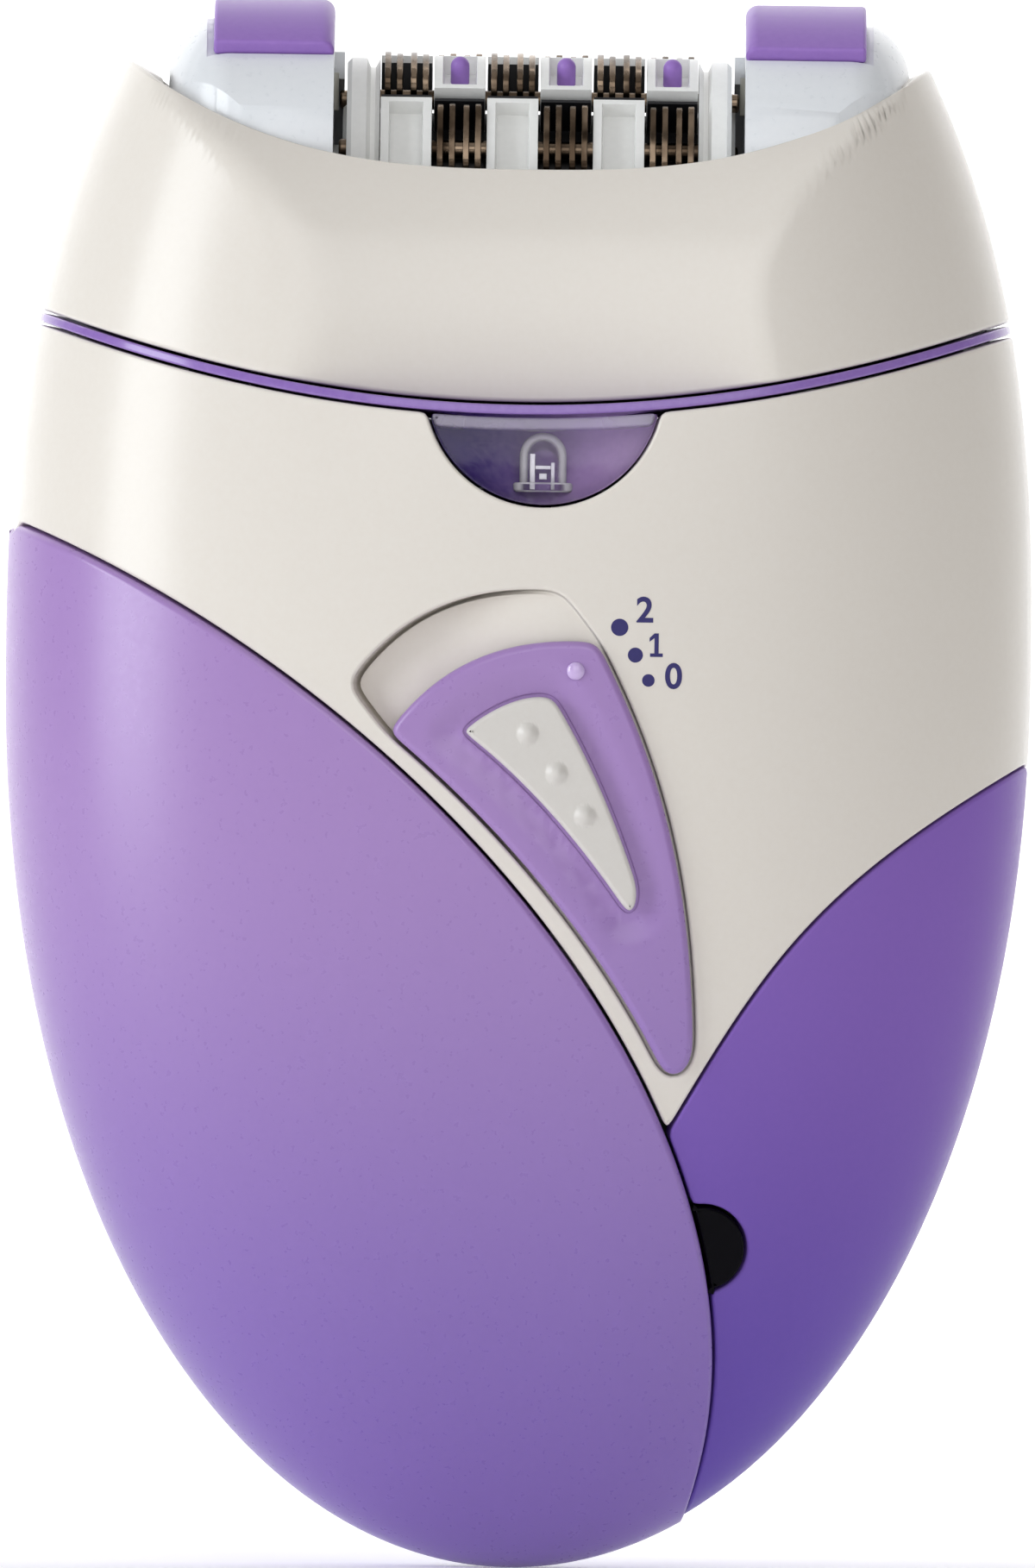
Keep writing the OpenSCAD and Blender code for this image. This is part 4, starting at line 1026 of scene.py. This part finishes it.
printed_digit("0", 9.73, 57.2, 1.62)
printed_digit("2", 7.85, 61.4, 1.62)
printed_one(8.62, 59.15, 1.5)

# ---------- indicator window ----------

window_seam = left_below[window_first:window_last + 1][::-1]
window_loop = rounded_loop(np.vstack([front(window_arc), front(window_seam)]), skin, FINE_STEP, 2)
settle(surface_solid("Indicator_window", SMOKED, lifted(skin, 0.08), window_loop, radius=0.18, gap=0.12,
                     step=0.4, thickness=1.5), "housing", "indicator_window")

# ---------- skin light ----------

POCKET_DROP = 0.12
STRIP_DROP = 0.14
STRIP_INSET = 0.15
STRIP_HEIGHT = 0.8
BOWL_RADIUS = 7.5
BOWL_BOTTOM = 12.6
BOWL_RISE = 4.3


def ring_front(drop, inset):
    """The part of the ring line, drop lower, that crosses the light pocket, as x, z from left to right."""
    line = skin(ring_line(RING_THICKNESS + drop))
    line = line[line[:, 1] < 0][:, [0, 2]]
    line = line[np.argsort(line[:, 0])]
    return line[~outside(line, LIGHT_CENTRE, LIGHT_RADIUS - inset)]


def pocket_loop(inset):
    """The light pocket's outline: its half round and the ring line that closes it."""
    line = ring_front(POCKET_DROP, inset)
    lower = around_corner(LIGHT_CENTRE, LIGHT_RADIUS - inset, line[-1], line[0], clockwise=True)
    return rounded_loop(front(chain(line, lower)), skin, 0.3, 1)


def bowl_face(back_off):
    """The dish behind the lamp, moved back by a distance."""
    def face(uv):
        p = skin(uv)
        far = np.hypot(p[..., 0] - LIGHT_CENTRE[0], p[..., 2] - LIGHT_CENTRE[1]) / BOWL_RADIUS
        rise = (1 - np.sqrt(1 - np.minimum(far, 0.995) ** 2)) ** 0.8
        return np.stack([p[..., 0], back_off - BOWL_BOTTOM - BOWL_RISE * rise, p[..., 2]], -1)
    return face


# The dish's colour holds painted shade on its left and painted light on its right.
settle(surface_solid("Light_reflector", BOWL_PAINTED_SHADE, bowl_face(0), pocket_loop(0.12), radius=0.05, gap=0.02,
                     step=0.4, under=bowl_face(0.5)), "housing", "light_reflector")

strip_top = ring_front(STRIP_DROP, STRIP_INSET)
strip_low = strip_top[::-1] - np.array([0, STRIP_HEIGHT])
strip_low = strip_low[~outside(strip_low, LIGHT_CENTRE, LIGHT_RADIUS - STRIP_INSET)]
strip_loop = rounded_loop(front(np.vstack([strip_top, strip_low])), skin, FINE_STEP, 1)
settle(surface_solid("Light_cover_rim", VIOLET_CLEAR, lifted(skin, -0.02), strip_loop, radius=0.2,
                     gap=0.0, step=0.3, thickness=1.2), "housing", "light_cover")
settle(surface_solid("Light_cover", CLEAR, lifted(skin, -0.05), pocket_loop(0.05), radius=0.12,
                     gap=0.05, step=0.7, thickness=0.7), "housing", "light_cover")

led_low, led_high = [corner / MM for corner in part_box("led")]
LED_PLACE = Matrix.Translation((LIGHT_CENTRE[0], (led_low.y + led_high.y) / 2, led_low.z))
LED_RADIUS = 1.5
top = led_high.z - led_low.z
led_profile = [(0, 0), (1.8, 0), (1.9, 0.1), (1.9, 0.5), (1.8, 0.6), (LED_RADIUS, 0.62),
               (LED_RADIUS, top - LED_RADIUS)]
led_profile += quarter(0, top - LED_RADIUS, LED_RADIUS, 0, 90, 10)[1:]
settle(lathe("Led_lens", LENS, led_profile, 48, place=LED_PLACE), "housing", "led")

BOX_FACES = [(0, 1, 3, 2), (4, 6, 7, 5), (0, 4, 5, 1), (2, 3, 7, 6), (0, 2, 6, 4), (1, 5, 7, 3)]


def bevelled(obj, width, segments=2, angle=30.0):
    mod = obj.modifiers.new("Bevel", "BEVEL")
    mod.width = width * MM
    mod.segments = segments
    mod.limit_method = "ANGLE"
    mod.angle_limit = math.radians(angle)
    mod.harden_normals = True


def gathered(parts):
    """Several lots of points and faces as one."""
    points, faces = [], []
    for p, f in parts:
        faces += [tuple(i + len(points) for i in face) for face in f]
        points += p
    return points, faces


def box_part(x1, x2, y1, y2, z1, z2):
    return [(x, y, z) for x in (x1, x2) for y in (y1, y2) for z in (z1, z2)], BOX_FACES


LAMP_PARTS = [(-0.85, -0.5, -0.25, 0.25, 0.15, top - 1.35), (0.5, 0.75, -0.25, 0.25, 0.15, top - 1.9),
              (-0.5, 0.5, -0.12, 0.12, top - 2.35, top - 2.1), (-0.25, 0.25, -0.2, 0.2, top - 3.0, top - 2.6)]
posts = mesh_object("Led_posts", LEAD_FRAME, *gathered([box_part(*size) for size in LAMP_PARTS]), LED_PLACE,
                    weld=False)
bevelled(posts, 0.04)
settle(posts, "housing", "led")

# ---------- inlet ----------

SLEEVE_TOP = 8.6
SLEEVE_WALL = 0.9
SLEEVE_SINK = 0.6


def inlet_sleeve():
    """The tube that lines the inlet hole, its lower rim just inside the cover's surface."""
    solid = Solid()
    rows = []
    bore, outer = INLET_HOLE + 0.02, INLET_HOLE + SLEEVE_WALL
    for radius, above in ((bore, False), (outer, False), (outer, True), (bore, True)):
        x, y = radius * np.cos(INLET_TURN), INLET_Y + radius * np.sin(INLET_TURN)
        z = 0 * x + SLEEVE_TOP if above else lifted(skin, -SLEEVE_SINK)(uv_below(x, y))[:, 2]
        rows.append(solid.add(np.stack([x, y, z], -1)))
    outward = np.stack([np.cos(INLET_TURN), np.sin(INLET_TURN), 0 * INLET_TURN], -1)
    up = np.tile([0.0, 0.0, 1.0], (len(INLET_TURN), 1))
    for k, n in enumerate((-up, outward, up, -outward)):
        solid.band(rows[k], rows[(k + 1) % 4], n, n)
    return solid.build("Inlet_sleeve", PURPLE_REAR_PAINTED_SHADE)


settle(inlet_sleeve(), "housing", "rear_cover")

# ---------- head pieces that keep the CAD shape, with softened edges ----------

SOFT_ANGLE = 35.0
FLAT_ANGLE = 0.6


def softened(node, name, material, width, segments=3):
    """A copy of a CAD piece of the head whose sharp edges are bevelled."""
    bm = bmesh.new()
    bm.from_mesh(frame["nodes"][node].data)
    bmesh.ops.remove_doubles(bm, verts=bm.verts, dist=2e-6)
    bmesh.ops.dissolve_limit(bm, angle_limit=math.radians(FLAT_ANGLE), verts=bm.verts, edges=bm.edges)
    mesh = bpy.data.meshes.new(name)
    bm.to_mesh(mesh)
    bm.free()
    mesh.shade_smooth()
    mesh.set_sharp_from_angle(angle=math.radians(SOFT_ANGLE))
    obj = linked(name, mesh, material)
    bevelled(obj, width, segments, SOFT_ANGLE)
    settle(obj, "head", node)


for side in ("left", "right"):
    softened("side_cap_" + side, "Side_cap_" + side, CAP_WHITE, 0.22)
    softened("massage_strip_" + side, "Massage_strip_" + side, RUBBER, 0.25)
softened("drum_tray", "Drum_tray", CAP_WHITE, 0.12, 2)

# ---------- drum ----------

CELL = 3.4
CELLS = 6
ROWS = 8
ROW_ANGLE = 45.0
CORE_RADIUS = 4.65
BLOCK_RADIUS = 8.4
BLOCK_GAP = 0.06
BLOCK_HALF = 19.5
BLOCK_RIM = 2.6
BLOCK_WALL = 0.55
BLOCK_FLOOR = 7.2
WALL_DRAFT = 0.08
RIM_DRAFT = 0.4
PLATE = 0.4
PLATE_HALF = 18.0
PLATE_CORNER = 1.1
FIXED_RADIUS = 8.75
CLOSING_RADIUS = 8.65
PAIR_GAP = 0.36
PAIR_SPACE = 0.5
ROD_ORBIT = 6.0
ROD_RADIUS = 0.6
ROD_CHAMFER = 0.12
SHADE_TROUGH_RADIUS = 7.9
SHADE_TROUGH_ANGLES = (20.6, 22.3)
SHADE_TROUGH_FLOOR = 5.25
SHADE_TROUGH_GAP = 0.1
END = CELL * CELLS / 2
DRUM_END = END + 2.1


def cell_x(j):
    return (j - CELLS / 2) * CELL


def row_centre(k):
    return ROW_ANGLE * (k + 0.5)


def on_drum(radius, angle, x):
    """A point at a radius and an angle from the front upwards round the drum's axis."""
    a = math.radians(angle)
    return (HEAD_X + x, -radius * math.cos(a), DRUM_Z + radius * math.sin(a))


def lofted(sections):
    """Points and faces of a closed solid through sections with equal numbers of points."""
    m = len(sections[0])
    points = [p for section in sections for p in section]
    faces = []
    for i in range(len(sections) - 1):
        for k in range(m):
            q = (k + 1) % m
            faces.append((i * m + k, i * m + q, (i + 1) * m + q, (i + 1) * m + k))
    faces.append(tuple(range(m)))
    faces.append(tuple((len(sections) - 1) * m + k for k in range(m - 1, -1, -1)))
    return points, faces


def block(k, j):
    """One white block: a pocketed pad with raised walls on all four sides."""
    x1, x2 = cell_x(j) + BLOCK_GAP, cell_x(j + 1) - BLOCK_GAP
    inner, foot = BLOCK_HALF - BLOCK_RIM, CORE_RADIUS - 0.3
    floor_angles = list(np.linspace(-inner + RIM_DRAFT, inner - RIM_DRAFT, 9))
    wall1, wall2 = x1 + BLOCK_WALL, x2 - BLOCK_WALL
    sections = []
    for a in [-BLOCK_HALF, -inner] + floor_angles + [inner, BLOCK_HALF]:
        r = BLOCK_FLOOR if a in floor_angles else BLOCK_RADIUS
        profile = [(x1, foot), (x1, BLOCK_RADIUS), (wall1, BLOCK_RADIUS), (wall1 + WALL_DRAFT, r),
                   (x2 - BLOCK_WALL - WALL_DRAFT, r), (wall2, BLOCK_RADIUS), (x2, BLOCK_RADIUS), (x2, foot)]
        sections.append([on_drum(radius, row_centre(k) + a, x) for x, radius in profile])
    return lofted(sections)


def plate(k, x, radius):
    """One tweezer plate with rounded outer corners."""
    bow = math.degrees(PLATE_CORNER / radius)
    flat = PLATE_HALF - bow
    rounds = [(radius - PLATE_CORNER + PLATE_CORNER * math.sin(t), bow * math.cos(t))
              for t in np.radians(np.linspace(0, 90, 6))]
    outline = [(CORE_RADIUS, a) for a in np.linspace(-PLATE_HALF, PLATE_HALF, 6)]
    outline += [(r, flat + a) for r, a in rounds]
    outline += [(radius, a) for a in np.linspace(flat, -flat, 8)[1:-1]]
    outline += [(r, -flat - a) for r, a in rounds[::-1]]
    return lofted([[on_drum(r, row_centre(k) + a, at) for r, a in outline] for at in (x, x + PLATE)])


def pair_starts(j):
    width = 2 * PLATE + PAIR_GAP
    middle = cell_x(j + 0.5)
    return [middle + side * (width + PAIR_SPACE) / 2 - width / 2 for side in (-1, 1)]


def rod(k, x1, x2, count=20):
    """A closing rod with chamfered ends."""
    sections = []
    for x, r in ((x1, ROD_RADIUS - ROD_CHAMFER), (x1 + ROD_CHAMFER, ROD_RADIUS),
                 (x2 - ROD_CHAMFER, ROD_RADIUS), (x2, ROD_RADIUS - ROD_CHAMFER)):
        centre = on_drum(ROD_ORBIT, row_centre(k), x)
        turn = [2 * math.pi * i / count for i in range(count)]
        sections.append([(centre[0], centre[1] + r * math.cos(t), centre[2] + r * math.sin(t)) for t in turn])
    return lofted(sections)


def shade_trough(k, j):
    """Painted shade: a black trough behind the tweezer plates of one cell, a floor with a low wall at each
    end, that darkens the gaps between the plates.
    """
    low, high = SHADE_TROUGH_ANGLES
    outline = [(CORE_RADIUS - 0.1, a) for a in np.linspace(-high, high, 12)]
    outline += [(SHADE_TROUGH_RADIUS, high), (SHADE_TROUGH_RADIUS, low)]
    outline += [(SHADE_TROUGH_FLOOR, a) for a in np.linspace(low, -low, 10)]
    outline += [(SHADE_TROUGH_RADIUS, -low), (SHADE_TROUGH_RADIUS, -high)]
    ends = (cell_x(j) + SHADE_TROUGH_GAP, cell_x(j + 1) - SHADE_TROUGH_GAP)
    return lofted([[on_drum(r, row_centre(k) + a, x) for r, a in outline] for x in ends])


def drum_piece(name, material, parts, body, node, bevel=None, angle=30.0):
    """Settles many small solids as one piece."""
    obj = mesh_object(name, material, *gathered(parts), weld=False)
    if bevel:
        bevelled(obj, bevel, 2, angle)
    settle(obj, body, node)


cells = [(k, j) for k in range(ROWS) for j in range(CELLS)]
metal_cells = [(k, j) for k, j in cells if (k + j) % 2]
white_cells = [(k, j) for k, j in cells if not (k + j) % 2]
drum_piece("Drum_blocks", DRUM_WHITE, [block(k, j) for k, j in white_cells], "drum", "drum_core", 0.09)
# Black troughs that stand for the shade between the tweezer plates.
drum_piece("Drum_shade_troughs", BLACK, [shade_trough(k, j) for k, j in metal_cells], "drum", "drum_core")

ALONG_X = Matrix.Translation((HEAD_X, 0, DRUM_Z)) @ Matrix.Rotation(math.radians(90), 4, "Y")
BORE = 1.25
hub_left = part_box("drum_gear")[0].x / MM - HEAD_X
core_profile = [(BORE, hub_left), (2.6, hub_left), (2.6, -DRUM_END - 0.25), (5.0, -DRUM_END - 0.25),
                (5.2, -DRUM_END), (7.9, -DRUM_END), (8.2, -DRUM_END + 0.3), (8.2, -END - 0.85),
                (7.6, -END - 0.6), (7.6, -END - 0.3), (8.2, -END), (CORE_RADIUS, -END + 0.02)]
core_profile += [(r, -x) for r, x in core_profile[:2:-1]] + [(BORE, DRUM_END + 0.25)]
settle(lathe("Drum_core", DRUM_WHITE, core_profile, 96, place=ALONG_X), "drum", "drum_core")
# Painted shadow: a black sleeve on the white core darkens the gaps between the tweezer plates.
r1, r2, half = CORE_RADIUS - 0.2, CORE_RADIUS + 0.05, END - 0.05
shadow_sleeve_profile = [(r1, -half), (r2, -half), (r2, half), (r1, half)]
settle(lathe("Drum_shadow_sleeve", BLACK, shadow_sleeve_profile, 64, place=ALONG_X), "drum", "drum_core")

DOME_RADIUS = 0.6
DOME_FOOT = 7.1
DOME_SHOULDER = 8.35
PLAIN_ROWS = 4
dome_profile = [(0, DOME_FOOT), (DOME_RADIUS, DOME_FOOT), (DOME_RADIUS, DOME_SHOULDER)]
dome_profile += quarter(0, DOME_SHOULDER, DOME_RADIUS, 0, 90, 6)[1:]


def turned_at(profile, place, segments=24):
    """The points and faces of a small turned shape at one place."""
    m = len(profile)
    points = [tuple(place @ Vector((r * math.cos(t), r * math.sin(t), h)))
              for t in (2 * math.pi * i / segments for i in range(segments)) for r, h in profile]
    faces = [(i * m + q, (i + 1) % segments * m + q, (i + 1) % segments * m + q + 1, i * m + q + 1)
             for i in range(segments) for q in range(m - 1)]
    return points, faces


domes = []
for k, j in white_cells:
    if k % PLAIN_ROWS:
        turn_up = Matrix.Rotation(math.radians(90 - row_centre(k)), 4, "X")
        place = Matrix.Translation((HEAD_X + cell_x(j + 0.5), 0, DRUM_Z)) @ turn_up
        domes.append(turned_at(dome_profile, place))
settle(mesh_object("Drum_domes", RUBBER, *gathered(domes)), "drum", "drum_domes")

fixed, closing = [], {k: [] for k in range(ROWS)}
for k, j in metal_cells:
    for x in pair_starts(j):
        near, far = (x + PLATE + PAIR_GAP, x) if k % 2 == 0 else (x, x + PLATE + PAIR_GAP)
        fixed.append(plate(k, near, FIXED_RADIUS))
        closing[k].append(plate(k, far, CLOSING_RADIUS))
drum_piece("Fixed_tweezers", TWEEZER, fixed, "drum", "fixed_tweezers", 0.06, 40)
for k in range(ROWS):
    ends = (-DRUM_END - 0.5, DRUM_END - 0.6) if k % 2 == 0 else (-DRUM_END + 0.6, DRUM_END + 0.5)
    drum_piece(f"Closing_row_{k + 1}", TWEEZER, closing[k] + [rod(k, *ends)], f"row_{k + 1}",
               f"closing_row_{k + 1}", 0.06, 40)

# ---------- materials for the CAD pieces that stay ----------

SLOT_MATERIALS = {
    "ivory_plastic": IVORY, "purple_plastic": PURPLE_PAINTED_SHADE, "purple_rubber": RUBBER, "purple_reflector": BOWL_PAINTED_SHADE,
    "clear_plastic": CLEAR, "led_lens": LENS, "smoked_window": SMOKED, "grey_plastic": GREY,
    "black_plastic": BLACK, "led_chip": CHIP, "plated_steel": STEEL_BRIGHT, "bright_steel": STEEL_BRIGHT,
    "brass": BRASS, "gear_plastic": GEAR_WHITE, "board": BOARD, "capacitor_sleeve": SLEEVE,
    "cap_plastic": CAP_WHITE, "drum_plastic": DRUM_WHITE, "tweezer_steel": TWEEZER}
for node, obj in frame["nodes"].items():
    for slot in obj.material_slots:
        slot.material = SLOT_MATERIALS[SLOTS[node]]

# ---------- stage, lights and camera ----------

FLOOR_FRONT_Y = -4.0
BEND_Y = 0.35
BEND_RADIUS = 0.3
WALL_TOP_Z = 1.4
STAGE_HALF_WIDTH = 2.5


def backdrop():
    """A pale floor that curves up behind the object. It shows from its front only."""
    profile = [(FLOOR_FRONT_Y, 0.0), (BEND_Y, 0.0)]
    for a in (math.pi / 2 * k / 12 for k in range(1, 13)):
        profile.append((BEND_Y + BEND_RADIUS * math.sin(a), BEND_RADIUS - BEND_RADIUS * math.cos(a)))
    profile.append((BEND_Y + BEND_RADIUS, WALL_TOP_Z))
    points = [(x, y, z) for x in (-STAGE_HALF_WIDTH, STAGE_HALF_WIDTH) for y, z in profile]
    n = len(profile)
    mesh = bpy.data.meshes.new("Backdrop")
    mesh.from_pydata(points, [], [(n + i, n + i + 1, i + 1, i) for i in range(n - 1)])
    mesh.shade_smooth()
    m = Nodes("backdrop_paper")
    grain = m.noise(220.0, 4.0)
    m.principled(Base_Color=m.mix(grain, (0.90, 0.90, 0.90, 1), (0.93, 0.93, 0.93, 1)),
                 Roughness=0.9, Normal=m.bump(grain, 0.0001), Emission_Color=WHITE, Emission_Strength=0.2)
    paper = m.out.inputs["Surface"].links[0].from_socket
    nothing = m.add("ShaderNodeBsdfTransparent").outputs[0]
    rear = m.add("ShaderNodeNewGeometry").outputs["Backfacing"]
    linked("Backdrop", mesh, m.surface(m.blend(rear, paper, nothing)))


def area_light(name, place, aim, size, power, colour=(1, 1, 1)):
    data = bpy.data.lights.new(name, "AREA")
    data.shape = "RECTANGLE"
    data.size, data.size_y = size
    data.energy = power
    data.color = colour
    obj = bpy.data.objects.new(name, data)
    obj.location = place
    obj.rotation_mode = "QUATERNION"
    obj.rotation_quaternion = (Vector(aim) - Vector(place)).to_track_quat("-Z", "Y")
    bpy.context.scene.collection.objects.link(obj)


backdrop()
MIDDLE = Vector((0, 0, 0.05))
COOL = (0.92, 0.965, 1.0)
area_light("Key_left", (-0.68, -0.36, 0.16), MIDDLE, (0.3, 0.8), 4.5, COOL)
area_light("Front_soft", (0.12, -1.0, 0.5), MIDDLE, (0.9, 0.7), 3.1)
area_light("Top_soft", (0, -0.1, 0.8), MIDDLE, (0.9, 0.9), 1.2)
area_light("Back_wash", (0, 0.3, 0.6), (0, 0.65, 0.35), (1.6, 0.5), 5)
world = bpy.data.worlds.new("Studio")
world.use_nodes = True
sky = world.node_tree.nodes["Background"].inputs
sky["Color"].default_value = WHITE
sky["Strength"].default_value = 0.15
bpy.context.scene.world = world
bpy.context.scene.view_settings.view_transform = "Standard"

CAMERA_DISTANCE = 2.4
CAMERA_ROLL = 0.79
SENSOR = 36
FRAME_HEIGHT = 0.10047
AIM = Vector((-0.0001, 0, 0.0502))
camera_data = bpy.data.cameras.new("Camera")
camera_data.sensor_width = SENSOR
camera_data.lens = SENSOR * CAMERA_DISTANCE / FRAME_HEIGHT
camera = bpy.data.objects.new("Camera", camera_data)
away = Vector((0, -1, 0))
camera.location = AIM + away * CAMERA_DISTANCE
camera.rotation_mode = "QUATERNION"
roll = Matrix.Rotation(math.radians(CAMERA_ROLL), 4, "Z").to_quaternion()
camera.rotation_quaternion = (-away).to_track_quat("-Z", "Y") @ roll
bpy.context.scene.collection.objects.link(camera)
bpy.context.scene.camera = camera
